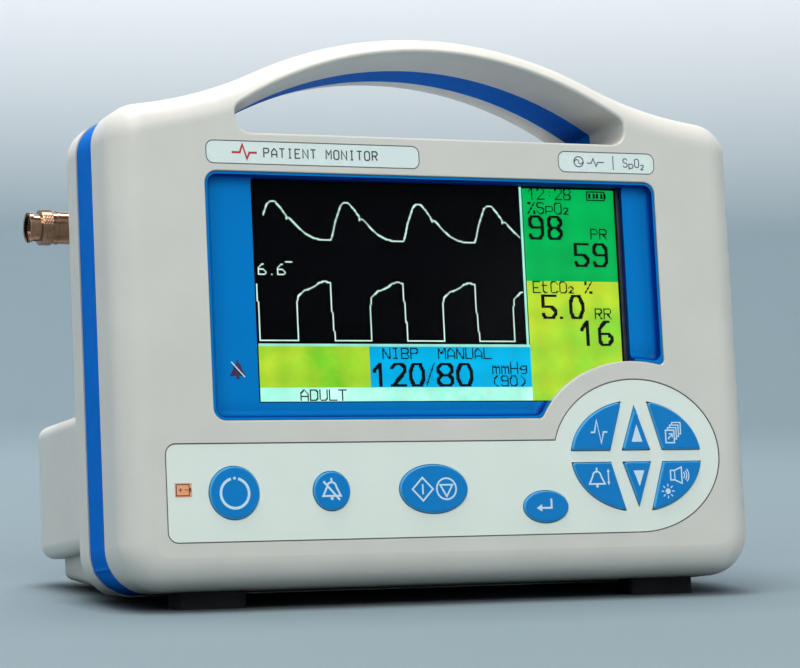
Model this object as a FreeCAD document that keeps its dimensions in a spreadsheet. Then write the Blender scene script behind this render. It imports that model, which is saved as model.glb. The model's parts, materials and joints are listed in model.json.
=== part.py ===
import FreeCAD, Part
import math
import os
from types import SimpleNamespace

import Sketcher

# Bench-top patient monitor: a leaning case in three mouldings with a carrying handle, a tray-framed
# display, a keypad of ten keys, a side-mounted air hose connector and a sliding battery.
#
# Every piece is drawn upright: x runs across the case from its middle, y runs back from the plane of
# the front face and z runs up from the underside. The whole assembly then leans back by lean_angle
# and is set down so that its feet rest on z = 0.

DIMENSIONS = {
    # Case
    "case_width": 245.0,
    "wall": 2.8,
    "lean_angle": 8.0,
    "front_depth": 23.5,
    "band_back": 42.0,
    "flange_back": 56.0,
    "band_reveal": 0.5,
    "front_rounding": 11.0,
    "bottom_corner_radius": 16.0,
    "top_corner_radius": 13.0,
    "top_corner_height": 157.5,
    "arch_radius": 156.0,
    "arch_centre_height": 42.0,
    "shoulder_radius": 150.0,
    "shoulder_centre": 129.3,
    "cavity_top": 156.8,
    # Handle opening
    "grip_radius": 140.0,
    "grip_centre_height": 51.9,
    "grip_half_width": 76.7,
    "grip_bottom": 159.6,
    "grip_low_corner": 5.7,
    "grip_high_corner": 4.0,
    "grip_draft": 2.4,
    "grip_edge": 0.9,
    # Display window in the case
    "tray_left": -88.9,
    "tray_right": 87.9,
    "tray_bottom": 58.1,
    "tray_top": 145.8,
    "tray_corner": 4.5,
    "window_edge": 0.5,
    "tray_floor": 4.0,
    "tray_back": 6.0,
    "island_centre": 74.5,
    "island_height": 44.2,
    "island_half_width": 41.0,
    "island_half_height": 34.8,
    "screen_left": -70.0,
    "screen_right": 74.4,
    "screen_bottom": 65.0,
    "screen_top": 143.9,
    # Keypad
    "overlay_left": -107.4,
    "overlay_bottom": 15.9,
    "overlay_top": 50.4,
    "overlay_thickness": 0.8,
    "overlay_half_width": 34.2,
    "overlay_half_height": 28.3,
    "cluster_centre": 74.1,
    "cluster_height": 44.0,
    "cluster_half_width": 26.5,
    "cluster_half_height": 20.2,
    "cluster_gap": 2.3,
    "key_proud": 0.9,
    "key_rounding": 0.8,
    "key_travel": 0.8,
    "key_clearance": 0.3,
    "key_flange": 0.8,
    "key_back": 4.4,
    # Rear mouldings
    "block_half_width": 118.0,
    "block_bottom": 18.0,
    "block_top": 68.0,
    "block_back": 119.0,
    "pod_half_width": 100.0,
    "pod_top": 152.0,
    "pod_back": 100.0,
    "keel_half_width": 110.0,
    "rear_rounding": 5.0,
    "foot_height": 2.0,
    # Air hose connector
    "port_depth": 80.0,
    "port_height": 138.0,
    "port_radius": 6.05,
    "port_tip": 130.0,
    "ring_back": 121.4,
    "nose_radius": 4.2,
    "port_bore": 3.2,
    # Battery
    "battery_inner": 6.0,
    "battery_front": 64.0,
    "battery_back": 108.0,
    "battery_bottom": 25.0,
    "battery_top": 61.0,
    "door_front": 61.6,
    "door_back": 110.4,
    "door_bottom": 22.8,
    "door_top": 63.2,
    # Inner frame and boards
    "bracket_front": 14.8,
    "bracket_half_width": 104.0,
    "main_board_front": 22.0,
    "main_board_half_width": 100.0,
    "main_board_bottom": 40.0,
    "main_board_top": 150.0,
    "chassis_front": 39.0,
    "chassis_thickness": 1.2,
    "chassis_half_width": 106.0,
    "keypad_board_front": 7.0,
    # Boards and fasteners
    "board_thickness": 1.6,
    "screw_radius": 1.25,
    "screw_head_radius": 2.5,
    "post_radius": 2.9,
}

doc = FreeCAD.newDocument("patient_monitor")
sheet = doc.addObject("Spreadsheet::Sheet", "sizes")
for row, (alias, value) in enumerate(DIMENSIONS.items(), start=1):
    sheet.set(f"A{row}", alias.replace("_", " "))
    sheet.set(f"B{row}", str(value))
    sheet.setAlias(f"B{row}", alias)
doc.recompute()


class Size:
    """A dimension as a spreadsheet expression, together with its value."""

    def __init__(self, text, value):
        self.text = text
        self.value = value

    def combine(self, sign, other, result):
        return Size(f"({self.text} {sign} {as_size(other).text})", result)

    def __add__(self, other):
        return self.combine("+", other, self.value + as_size(other).value)

    def __sub__(self, other):
        return self.combine("-", other, self.value - as_size(other).value)

    def __mul__(self, other):
        return self.combine("*", other, self.value * as_size(other).value)

    def __truediv__(self, other):
        return self.combine("/", other, self.value / as_size(other).value)

    def __radd__(self, other):
        return as_size(other) + self

    def __rsub__(self, other):
        return as_size(other) - self

    def __rmul__(self, other):
        return as_size(other) * self

    def __neg__(self):
        return as_size(0) - self


def as_size(number):
    if isinstance(number, Size):
        return number
    return Size(str(number), float(number))


def root(size):
    return Size(f"sqrt({size.text})", math.sqrt(size.value))


d = SimpleNamespace(**{alias: Size(f"sizes.{alias}", sheet.get(alias)) for alias in DIMENSIONS})
pieces = []


def bind(thing, field, size):
    """Drive one property of a document object from the spreadsheet."""
    thing.setExpression(field, as_size(size).text)


def piece(name):
    """Start one separate piece of the monitor."""
    body = doc.addObject("PartDesign::Body", name)
    body.Label = name
    pieces.append(body)
    return body


# ---------------------------------------------------------------- solids from primitives

def place(feature, x, y, z):
    for axis, size in zip("xyz", (x, y, z)):
        bind(feature, f"Placement.Base.{axis}", size)


def box(body, x, y, z, cut=False):
    """Add or cut a block between the low and high of each axis."""
    kind = "PartDesign::SubtractiveBox" if cut else "PartDesign::AdditiveBox"
    block = body.newObject(kind, f"{body.Name}_block")
    block.Refine = False
    for field, (low, high) in zip(("Length", "Width", "Height"), (x, y, z)):
        bind(block, field, as_size(high) - low)
    place(block, x[0], y[0], z[0])
    return block


TURNS = {
    "x": FreeCAD.Rotation(FreeCAD.Vector(0, 1, 0), 90),
    "y": FreeCAD.Rotation(FreeCAD.Vector(1, 0, 0), -90),
    "z": FreeCAD.Rotation(),
}


def rod(body, axis, start, length, radius, cut=False):
    """Add or cut a cylinder that runs from start along the positive direction of an axis."""
    kind = "PartDesign::SubtractiveCylinder" if cut else "PartDesign::AdditiveCylinder"
    cylinder = body.newObject(kind, f"{body.Name}_rod")
    cylinder.Refine = False
    cylinder.Placement = FreeCAD.Placement(FreeCAD.Vector(), TURNS[axis])
    bind(cylinder, "Radius", radius)
    bind(cylinder, "Height", length)
    place(cylinder, *start)
    return cylinder


def edges_where(feature, test):
    """Names of the edges of a feature that pass a test."""
    doc.recompute()
    return [f"Edge{i}" for i, edge in enumerate(feature.Shape.Edges, start=1) if test(edge)]


def fillet(body, radius, test, kind="PartDesign::Fillet"):
    """Round, or chamfer, the body's edges that pass a test."""
    base = body.Tip
    rounding = body.newObject(kind, f"{body.Name}_rounding")
    rounding.Base = (base, edges_where(base, test))
    bind(rounding, "Radius" if kind.endswith("Fillet") else "Size", radius)
    doc.recompute()
    return rounding


def along(axis):
    """A test for straight edges parallel to an axis."""
    def test(edge):
        if edge.Curve.TypeId != "Part::GeomLine":
            return False
        return abs(getattr(edge.Curve.Direction, axis)) > 0.999
    return test


def in_plane(axis, level):
    """A test for edges that lie wholly at one level of an axis."""
    def test(edge):
        low = getattr(edge.BoundBox, f"{axis.upper()}Min")
        high = getattr(edge.BoundBox, f"{axis.upper()}Max")
        return abs(low - level.value) < 1e-3 and abs(high - level.value) < 1e-3
    return test


# ---------------------------------------------------------------- solids from sketches

class Drawing:
    """A sketch in the body's upright plane, at a depth behind the front face."""

    def __init__(self, body, depth):
        self.body = body
        self.sketch = body.newObject("Sketcher::SketchObject", f"{body.Name}_sketch")
        upright = next(f for f in body.Origin.OriginFeatures if f.Role == "XZ_Plane")
        self.sketch.AttachmentSupport = [(upright, "")]
        self.sketch.MapMode = "FlatFace"
        bind(self.sketch, "AttachmentOffset.Base.z", -as_size(depth))

    def rule(self, *terms):
        return self.sketch.addConstraint(Sketcher.Constraint(*terms))

    def measure(self, kind, *terms):
        """Add a dimension, the last term, and drive it from the spreadsheet."""
        size = as_size(terms[-1])
        index = self.rule(kind, *terms[:-1], size.value)
        bind(self.sketch, f"Constraints[{index}]", size)

    def pin(self, geometry, point, x=None, z=None):
        """Hold a point at a distance from the drawing's origin."""
        if x is not None:
            self.measure("DistanceX", -1, 1, geometry, point, x)
        if z is not None:
            self.measure("DistanceY", -1, 1, geometry, point, z)

    def line(self, start, end):
        first, last = (FreeCAD.Vector(as_size(p[0]).value, as_size(p[1]).value, 0) for p in (start, end))
        return self.sketch.addGeometry(Part.LineSegment(first, last), False)

    def arc(self, centre, radius, start, end):
        """A circular arc, counterclockwise between two directions in degrees."""
        middle = FreeCAD.Vector(as_size(centre[0]).value, as_size(centre[1]).value, 0)
        circle = Part.Circle(middle, FreeCAD.Vector(0, 0, 1), as_size(radius).value)
        arc = Part.ArcOfCircle(circle, math.radians(start), math.radians(end))
        index = self.sketch.addGeometry(arc, False)
        self.measure("Radius", index, radius)
        return index

    def circle(self, centre, radius):
        middle = FreeCAD.Vector(as_size(centre[0]).value, as_size(centre[1]).value, 0)
        circle = Part.Circle(middle, FreeCAD.Vector(0, 0, 1), as_size(radius).value)
        index = self.sketch.addGeometry(circle, False)
        self.measure("Radius", index, radius)
        self.pin(index, 3, *centre)

    def ellipse(self, centre, half_width, half_height, start=None, end=None):
        """An ellipse, or its arc counterclockwise from the start point to the end point."""
        cx, cz = (as_size(size).value for size in centre)
        a, b = as_size(half_width).value, as_size(half_height).value
        middle = FreeCAD.Vector(cx, cz, 0)
        curve = Part.Ellipse(middle + FreeCAD.Vector(a, 0, 0), middle + FreeCAD.Vector(0, b, 0), middle)
        if start is not None:
            first, last = (math.atan2((p[1] - cz) / b, (p[0] - cx) / a) for p in (start, end))
            curve = Part.ArcOfEllipse(curve, first, last + (2 * math.pi if last < first else 0))
        index = self.sketch.addGeometry(curve, False)
        self.sketch.exposeInternalGeometry(index)
        major, minor = index + 1, index + 2
        self.rule("Horizontal", major)
        self.measure("Distance", major, 1, major, 2, 2 * as_size(half_width))
        self.measure("Distance", minor, 1, minor, 2, 2 * as_size(half_height))
        self.pin(index, 3, *centre)
        return index

    def polygon(self, corners):
        """Straight sides between corners, each held at its place."""
        sides = [self.line(a, b) for a, b in zip(corners, corners[1:] + corners[:1])]
        for side, following in zip(sides, sides[1:] + sides[:1]):
            self.rule("Coincident", side, 2, following, 1)
        for side, (x, z) in zip(sides, corners):
            self.pin(side, 1, x, z)

    def pad(self, thickness):
        """Thicken the drawing towards the front."""
        pad = self.body.newObject("PartDesign::Pad", f"{self.body.Name}_pad")
        pad.Refine = False
        pad.Profile = self.sketch
        bind(pad, "Length", thickness)
        return pad

    def pocket(self, depth, taper=None):
        """Cut the drawing away towards the back."""
        pocket = self.body.newObject("PartDesign::Pocket", f"{self.body.Name}_pocket")
        pocket.Refine = False
        pocket.Profile = self.sketch
        bind(pocket, "Length", depth)
        if taper is not None:
            bind(pocket, "TaperAngle", taper)
        return pocket


def slab(body, draw, front, back, cut=False, taper=None):
    """A plate, or a cut, of a drawn outline between two depths."""
    drawing = Drawing(body, front if cut else back)
    draw(drawing)
    thickness = as_size(back) - front
    return drawing.pocket(thickness, taper) if cut else drawing.pad(thickness)


def case_outline(inset):
    """The monitor's outline, moved inwards: corners, sides, sloping shoulders and the handle's arch."""
    def draw(drawing):
        half = d.case_width / 2
        low = d.bottom_corner_radius
        high = d.top_corner_radius
        reach = d.arch_radius + d.shoulder_radius
        shoulder_height = d.arch_centre_height + root(reach * reach - d.shoulder_centre * d.shoulder_centre)
        meet = math.degrees(math.asin((d.shoulder_centre / reach).value))
        # The shoulder line touches both the corner and the shoulder curve from opposite sides.
        across = (d.shoulder_centre - (half - high)).value
        rise = (shoulder_height - d.top_corner_height).value
        gap = math.hypot(across, rise)
        slope = math.degrees(math.acos((d.shoulder_radius + high).value / gap) + math.atan2(across, rise))
        bottom = drawing.line((low - half, inset), (half - low, inset))
        right = drawing.line((half - inset, low), (half - inset, d.top_corner_height))
        left = drawing.line((inset - half, d.top_corner_height), (inset - half, low))
        low_right = drawing.arc((half - low, low), low - inset, 270, 360)
        low_left = drawing.arc((low - half, low), low - inset, 180, 270)
        high_right = drawing.arc((half - high, d.top_corner_height), high - inset, 0, 90 - slope)
        high_left = drawing.arc((high - half, d.top_corner_height), high - inset, 90 + slope, 180)
        hollow_right = drawing.arc((d.shoulder_centre, shoulder_height), d.shoulder_radius + inset,
                                   270 - meet, 270 - slope)
        hollow_left = drawing.arc((-d.shoulder_centre, shoulder_height), d.shoulder_radius + inset,
                                  270 + slope, 270 + meet)
        arch = drawing.arc((0, d.arch_centre_height), d.arch_radius - inset, 90 - meet, 90 + meet)
        geometry = drawing.sketch.Geometry
        slope_right = drawing.line(geometry[high_right].EndPoint, geometry[hollow_right].EndPoint)
        slope_left = drawing.line(geometry[hollow_left].StartPoint, geometry[high_left].StartPoint)
        joints = [(bottom, 2, low_right, 1), (low_right, 2, right, 1), (right, 2, high_right, 1),
                  (high_right, 2, slope_right, 1), (slope_right, 2, hollow_right, 2),
                  (hollow_right, 1, arch, 1), (arch, 2, hollow_left, 2), (hollow_left, 1, slope_left, 1),
                  (slope_left, 2, high_left, 1), (high_left, 2, left, 1), (left, 2, low_left, 1),
                  (low_left, 2, bottom, 1)]
        for joint in joints:
            drawing.rule("Tangent", *joint)
        drawing.rule("Horizontal", bottom)
        drawing.rule("Vertical", right)
        drawing.rule("Vertical", left)
        drawing.pin(bottom, 1, z=inset)
        drawing.pin(right, 1, x=half - inset)
        drawing.pin(left, 1, x=inset - half)
        drawing.pin(arch, 3, x=0, z=d.arch_centre_height)
        drawing.pin(hollow_right, 3, x=d.shoulder_centre)
        drawing.pin(hollow_left, 3, x=-d.shoulder_centre)
        drawing.pin(high_right, 3, z=d.top_corner_height)
        drawing.pin(high_left, 3, z=d.top_corner_height)
    return draw


def grip_outline(inset):
    """The opening under the handle: an arched top over a straight sill."""
    def draw(drawing):
        half = d.grip_half_width
        low = d.grip_low_corner
        high = d.grip_high_corner
        reach = d.grip_radius - high
        high_centre = d.grip_centre_height + root(reach * reach - (half - high) * (half - high))
        lean = math.degrees(math.asin(((half - high) / reach).value))
        sill = drawing.line((low - half, d.grip_bottom + inset), (half - low, d.grip_bottom + inset))
        right = drawing.line((half - inset, d.grip_bottom + low), (half - inset, high_centre))
        left = drawing.line((inset - half, high_centre), (inset - half, d.grip_bottom + low))
        low_right = drawing.arc((half - low, d.grip_bottom + low), low - inset, 270, 360)
        low_left = drawing.arc((low - half, d.grip_bottom + low), low - inset, 180, 270)
        high_right = drawing.arc((half - high, high_centre), high - inset, 0, 90 - lean)
        high_left = drawing.arc((high - half, high_centre), high - inset, 90 + lean, 180)
        arch = drawing.arc((0, d.grip_centre_height), d.grip_radius - inset, 90 - lean, 90 + lean)
        joints = [(sill, 2, low_right, 1), (low_right, 2, right, 1), (right, 2, high_right, 1),
                  (high_right, 2, arch, 1), (arch, 2, high_left, 1), (high_left, 2, left, 1),
                  (left, 2, low_left, 1), (low_left, 2, sill, 1)]
        for joint in joints:
            drawing.rule("Tangent", *joint)
        drawing.rule("Horizontal", sill)
        drawing.rule("Vertical", right)
        drawing.rule("Vertical", left)
        drawing.pin(sill, 1, z=d.grip_bottom + inset)
        drawing.pin(right, 1, x=half - inset)
        drawing.pin(left, 1, x=inset - half)
        drawing.pin(arch, 3, x=0, z=d.grip_centre_height)
    return draw


def tray_outline(grow):
    """The display window: a rectangle whose lower right corner gives way to the key island."""
    def draw(drawing):
        left = d.tray_left - grow
        right = d.tray_right + grow
        bottom = d.tray_bottom - grow
        top = d.tray_top + grow
        a = d.island_half_width - grow
        b = d.island_half_height - grow
        over = (right - d.island_centre) / a
        down = (bottom - d.island_height) / b
        right_end = d.island_height + b * root(1 - over * over)
        bottom_end = d.island_centre - a * root(1 - down * down)
        side = drawing.line((left, top), (left, bottom))
        sill = drawing.line((left, bottom), (bottom_end, bottom))
        short = drawing.line((right, right_end), (right, top))
        head = drawing.line((right, top), (left, top))
        island = drawing.ellipse((d.island_centre, d.island_height), a, b,
                                 (right.value, right_end.value), (bottom_end.value, bottom.value))
        for joint in [(side, 2, sill, 1), (sill, 2, island, 2), (island, 1, short, 1),
                      (short, 2, head, 1), (head, 2, side, 1)]:
            drawing.rule("Coincident", *joint)
        for upright in (side, short):
            drawing.rule("Vertical", upright)
        for level in (sill, head):
            drawing.rule("Horizontal", level)
        drawing.pin(side, 1, left, top)
        drawing.pin(sill, 1, z=bottom)
        drawing.pin(short, 1, x=right)
    return draw


def rounded(x, z, low, high):
    """A rectangle with one corner radius below and another above."""
    def draw(drawing):
        left, right = (as_size(size) for size in x)
        bottom, top = (as_size(size) for size in z)
        sill = drawing.line((left + low, bottom), (right - low, bottom))
        east = drawing.line((right, bottom + low), (right, top - high))
        head = drawing.line((right - high, top), (left + high, top))
        west = drawing.line((left, top - high), (left, bottom + low))
        corners = [drawing.arc((right - low, bottom + low), low, 270, 360),
                   drawing.arc((right - high, top - high), high, 0, 90),
                   drawing.arc((left + high, top - high), high, 90, 180),
                   drawing.arc((left + low, bottom + low), low, 180, 270)]
        sides = [sill, east, head, west]
        for side, corner, following in zip(sides, corners, sides[1:] + sides[:1]):
            drawing.rule("Tangent", side, 2, corner, 1)
            drawing.rule("Tangent", corner, 2, following, 1)
        for level in (sill, head):
            drawing.rule("Horizontal", level)
        for upright in (east, west):
            drawing.rule("Vertical", upright)
        drawing.pin(sill, 1, z=bottom)
        drawing.pin(head, 1, z=top)
        drawing.pin(east, 1, x=right)
        drawing.pin(west, 1, x=left)
    return draw


def oval(centre, half_width, half_height):
    return lambda drawing: drawing.ellipse(centre, half_width, half_height)


def discs(centres, radius):
    return lambda drawing: [drawing.circle(centre, radius) for centre in centres]


def panes(frames):
    """Rectangles, each between the low and high of x and of z."""
    def draw(drawing):
        for (left, right), (low, high) in frames:
            drawing.polygon([(left, low), (right, low), (right, high), (left, high)])
    return draw


# ---------------------------------------------------------------- shared places

HALF_CAVITY = d.case_width / 2 - d.wall
CASE_SCREWS = [(side * x, z) for x, z in ((113.0, 10.0), (113.5, 148.5), (90.0, 165.0)) for side in (-1, 1)]
BRACKET_SCREWS = [(side * 99.0, z) for side in (-1, 1) for z in (73.0, 141.0)]
KEYPAD_SCREWS = [(-102.0, 20.0), (-102.0, 54.0), (14.0, 20.0), (14.0, 51.0), (103.0, 20.0)]
BOARD_SCREWS = [(x, z) for x in (-94.0, 0.0, 94.0) for z in (68.0, 146.0)]
CHASSIS_SCREWS = [(side * x, z) for side in (-1, 1) for x, z in ((102.5, 76.0), (102.5, 125.0), (60.0, 11.0))]
INSERTS = [(side * 37.5, depth) for side in (-1, 1) for depth in (67.0, 97.0)]
FEET = [-88.0, 88.0]
SERIAL_PORT = ((20, 51), (84, 97))
POWER_INLET = (-40, 44)
RATING_LABEL = ((12, 98), (28, 58))

lean_sine = Size("sin(sizes.lean_angle)", math.sin(math.radians(d.lean_angle.value)))
lean_cosine = Size("cos(sizes.lean_angle)", math.cos(math.radians(d.lean_angle.value)))


def below_floor(body, lift):
    """Cut away what is lower than a plane parallel to the floor, at a height above it."""
    depth = as_size(60)
    cutter = body.newObject("PartDesign::SubtractiveBox", f"{body.Name}_floor_cut")
    cutter.Placement = FreeCAD.Placement(FreeCAD.Vector(), FreeCAD.Rotation(FreeCAD.Vector(1, 0, 0), 1))
    bind(cutter, "Placement.Rotation.Angle", d.lean_angle)
    for field, length in (("Length", 2 * d.case_width), ("Width", 4 * d.case_width), ("Height", depth)):
        bind(cutter, field, length)
    sunk = depth - lift
    place(cutter, -d.case_width, d.flange_back + sunk * lean_sine - 2 * d.case_width * lean_cosine,
          -sunk * lean_cosine - 2 * d.case_width * lean_sine)
    return cutter


def hollow(body, front, back):
    """Cut the room behind the front face, with the case's own corners."""
    low = d.bottom_corner_radius - d.wall
    high = d.top_corner_radius - d.wall
    room = rounded((-HALF_CAVITY, HALF_CAVITY), (d.wall, d.cavity_top), low, high)
    slab(body, room, front, back, cut=True)


# ---------------------------------------------------------------- keys

class Key:
    """A key: its outline grown by a margin, whether it has corners, and where it meets its dome."""

    def __init__(self, name, outline, touch, cornered=True):
        self.name = name
        self.outline = outline
        self.touch = touch
        self.cornered = cornered


def round_key(name, centre, half_width, half_height=None):
    if half_height is None:
        return Key(name, lambda grow: discs([centre], half_width + grow), centre, cornered=False)
    return Key(name, lambda grow: oval(centre, half_width + grow, half_height + grow), centre, cornered=False)


def arrow_key(name, up):
    """A triangular key above (1) or below (-1) the middle of the cluster."""
    half, reach = as_size(5.55), as_size(18.0)

    def outline(grow):
        rise = reach - d.cluster_gap
        side = root(half * half + rise * rise)
        base = d.cluster_height + up * (d.cluster_gap - grow)
        tip = d.cluster_height + up * (reach + grow * side / half)
        spread = half + grow * (side + half) / rise
        corners = [(d.cluster_centre - spread, base), (d.cluster_centre + spread, base),
                   (d.cluster_centre, tip)]
        return lambda drawing: drawing.polygon(corners)
    return Key(name, outline, (d.cluster_centre, d.cluster_height + up * 7.0))


def wing_key(name, side, up):
    """A key at one side of the cluster: straight inner edges and the ellipse's own outer edge."""
    near, far = as_size(10.75), as_size(5.4)

    def outline(grow):
        a = d.cluster_half_width + grow
        b = d.cluster_half_height + grow
        lean = (near - far) / (d.cluster_half_height - d.cluster_gap)
        margin = grow * root(1 + lean * lean)
        level = d.cluster_gap - grow
        inner = near - margin + lean * grow
        top = far - margin
        flat = a * root(1 - (level / b) * (level / b))
        crest = b * root(1 - (top / a) * (top / a))
        corner = (d.cluster_centre + side * inner, d.cluster_height + up * level)
        outer = (d.cluster_centre + side * flat, d.cluster_height + up * level)
        summit = (d.cluster_centre + side * top, d.cluster_height + up * crest)

        def draw(drawing):
            ends = (outer, summit) if side * up > 0 else (summit, outer)
            values = [(x.value, z.value) for x, z in ends]
            base = drawing.line(corner, outer)
            slant = drawing.line(summit, corner)
            rim = drawing.ellipse((d.cluster_centre, d.cluster_height), a, b, *values)
            at_outer, at_summit = (1, 2) if side * up > 0 else (2, 1)
            drawing.rule("Coincident", base, 2, rim, at_outer)
            drawing.rule("Coincident", rim, at_summit, slant, 1)
            drawing.rule("Coincident", slant, 2, base, 1)
            drawing.rule("Horizontal", base)
            drawing.pin(base, 1, *corner)
            drawing.pin(slant, 1, x=summit[0])
        return draw
    return Key(name, outline, (d.cluster_centre + side * 15.5, d.cluster_height + up * 8.5))


KEYS = [
    round_key("key_power", (-82.7, 33.0), 9.1),
    round_key("key_mute", (-46.6, 33.1), 6.8),
    round_key("key_start_stop", (-7.65, 33.2), 13.05, 8.6),
    round_key("key_enter", (36.2, 26.1), 8.85, 5.7),
    wing_key("key_waveform", -1, 1),
    arrow_key("key_up", 1),
    wing_key("key_pages", 1, 1),
    wing_key("key_alarm_limits", -1, -1),
    arrow_key("key_down", -1),
    wing_key("key_sound_light", 1, -1),
]


def make_keys():
    """Key caps with a rounded front, a flange that stops them falling out and a short plunger."""
    back = d.wall + 0.2
    for key in KEYS:
        body = piece(key.name)
        slab(body, key.outline(0), -d.key_proud, back)
        if key.cornered:
            fillet(body, 0.9, along("y"))
        fillet(body, d.key_rounding, in_plane("y", -d.key_proud))
        slab(body, key.outline(d.key_flange), back, back + 1)
        rod(body, "y", (key.touch[0], back + 0.5, key.touch[1]), d.key_back - back - 0.5, 2)


def make_domes():
    """A snap dome on the keypad board under each key."""
    body = piece("key_domes")
    front = d.key_back + d.key_travel + 0.2
    slab(body, discs([key.touch for key in KEYS], 2.8), front, d.keypad_board_front)


# ---------------------------------------------------------------- case

def screw_posts(body, places, front, back, radius):
    """Posts that run back from a wall, each with a screw hole along it."""
    slab(body, discs(places, radius), front, back)
    slab(body, discs(places, d.screw_radius + 0.05), as_size(front) - 0.1, as_size(back) + 0.1, cut=True)


def screws(body, places, seat, tip):
    """Cross-headed screws whose heads sit at one depth and whose shanks point to the front."""
    head_back = as_size(seat) + 1.8
    slab(body, discs(places, d.screw_radius), tip, seat)
    slab(body, discs(places, d.screw_head_radius), seat, head_back)
    long, short = 1.6, 0.3
    for across, up in ((long, short), (short, long)):
        arms = [((x - across, x + across), (z - up, z + up)) for x, z in places]
        slab(body, panes(arms), head_back - 0.8, head_back, cut=True)


LABELS = {"name_strip": (-88.3, -6.9, 148.2, 156.7), "module_label": (48.5, 88.4, 148.7, 156.7)}
LABEL_DEPTH = 0.5
CHARGE_LENS = (-104.15, -98.05, 31.9, 36.7)


def rounded_plate(body, x, y, z, radius, cut=False):
    """A plate, or a cut, with four rounded corners."""
    return slab(body, rounded(x, z, as_size(radius), as_size(radius)), *y, cut=cut)


def make_front_case():
    """The front moulding: rounded face, display window, key holes, label recesses and screw posts."""
    body = piece("front_case")
    slab(body, case_outline(0), 0, d.front_depth)
    hollow(body, d.wall, d.front_depth)
    fillet(body, d.front_rounding - d.wall, in_plane("y", d.wall))
    fillet(body, d.front_rounding, in_plane("y", as_size(0)))
    taper = Size("-atan(sizes.grip_draft / sizes.front_depth)",
                 -math.degrees(math.atan(d.grip_draft.value / d.front_depth.value)))
    slab(body, grip_outline(0), 0, d.front_depth, cut=True, taper=taper)
    fillet(body, d.grip_edge, lambda edge: front_edge(edge, d.grip_half_width, d.grip_bottom, d.case_width))
    slab(body, tray_outline(0), 0, d.front_depth, cut=True)
    round_window(body, d.tray_corner, 2, d.wall)
    fillet(body, d.window_edge, lambda edge: front_edge(edge, d.tray_left, d.tray_bottom, d.tray_top))
    right = d.island_centre
    high, low = d.overlay_top, d.overlay_bottom
    rounded_plate(body, (d.overlay_left, right), (0, d.overlay_thickness), (low, high), 4, cut=True)
    slab(body, overlay_island(0), 0, d.overlay_thickness, cut=True)
    for key in KEYS:
        slab(body, key.outline(d.key_clearance), 0, d.wall + 1, cut=True)
    left, right, low, high = CHARGE_LENS
    box(body, (left - 0.1, right + 0.1), (0, d.wall + 1), (low - 0.1, high + 0.1), cut=True)
    for left, right, low, high in LABELS.values():
        rounded_plate(body, (left, right), (0, LABEL_DEPTH), (low, high), 2.9, cut=True)
    slab(body, discs(CASE_SCREWS[:4], 4), d.wall + 1.5, d.front_depth)
    slab(body, discs(CASE_SCREWS, d.screw_radius + 0.05), 15, d.front_depth, cut=True)
    screw_posts(body, BRACKET_SCREWS, d.wall, d.bracket_front, d.post_radius)
    screw_posts(body, KEYPAD_SCREWS, d.wall, d.keypad_board_front, d.post_radius)
    for x in FEET:
        rod(body, "z", (x, 17.5, 0), d.wall, 3.05, cut=True)


def front_edge(edge, half, low, high):
    """An opening's edge in the flat of the front, given half its width and the heights it lies between."""
    reach = edge.BoundBox
    across = max(-reach.XMin, reach.XMax) < abs(half.value) + 1e-3
    level = low.value - 1e-3 < reach.ZMin and reach.ZMax < high.value + 1e-3
    return in_plane("y", as_size(0))(edge) and across and level


def round_window(body, square, pointed, back):
    """Round a window's three square corners and its two corners at the key island.

    The corners' edges end at the depth named back."""
    def corner(edge, at_island):
        x, z = edge.CenterOfMass.x, edge.CenterOfMass.z
        inside = d.tray_left.value - 4 < x < d.tray_right.value + 4
        inside = inside and d.tray_bottom.value - 4 < z < d.tray_top.value + 4
        island = x > 0 and z < d.island_height.value + d.island_half_height.value
        ends_here = abs(edge.BoundBox.YMax - as_size(back).value) < 1e-3
        return along("y")(edge) and inside and island == at_island and ends_here

    fillet(body, square, lambda edge: corner(edge, False))
    fillet(body, pointed, lambda edge: corner(edge, True))


def overlay_island(grow):
    centre = (d.island_centre, d.island_height)
    return oval(centre, d.overlay_half_width + grow, d.overlay_half_height + grow)


def make_mid_band():
    """The blue band between the two shells, set in a little from their outline."""
    body = piece("mid_band")
    slab(body, case_outline(d.band_reveal), d.front_depth, d.band_back)
    hollow(body, d.front_depth, d.band_back)
    slab(body, grip_outline(d.grip_draft), d.front_depth, d.band_back, cut=True)
    slab(body, discs(CASE_SCREWS[:4], 4), d.front_depth, d.band_back)
    for x, z in CASE_SCREWS[:4]:
        web = (x, 121) if x > 0 else (-121, x)
        box(body, web, (d.front_depth, d.band_back), (z - 1, z + 1))
    slab(body, discs(CASE_SCREWS, d.screw_radius + 0.15), d.front_depth, d.band_back, cut=True)


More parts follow.
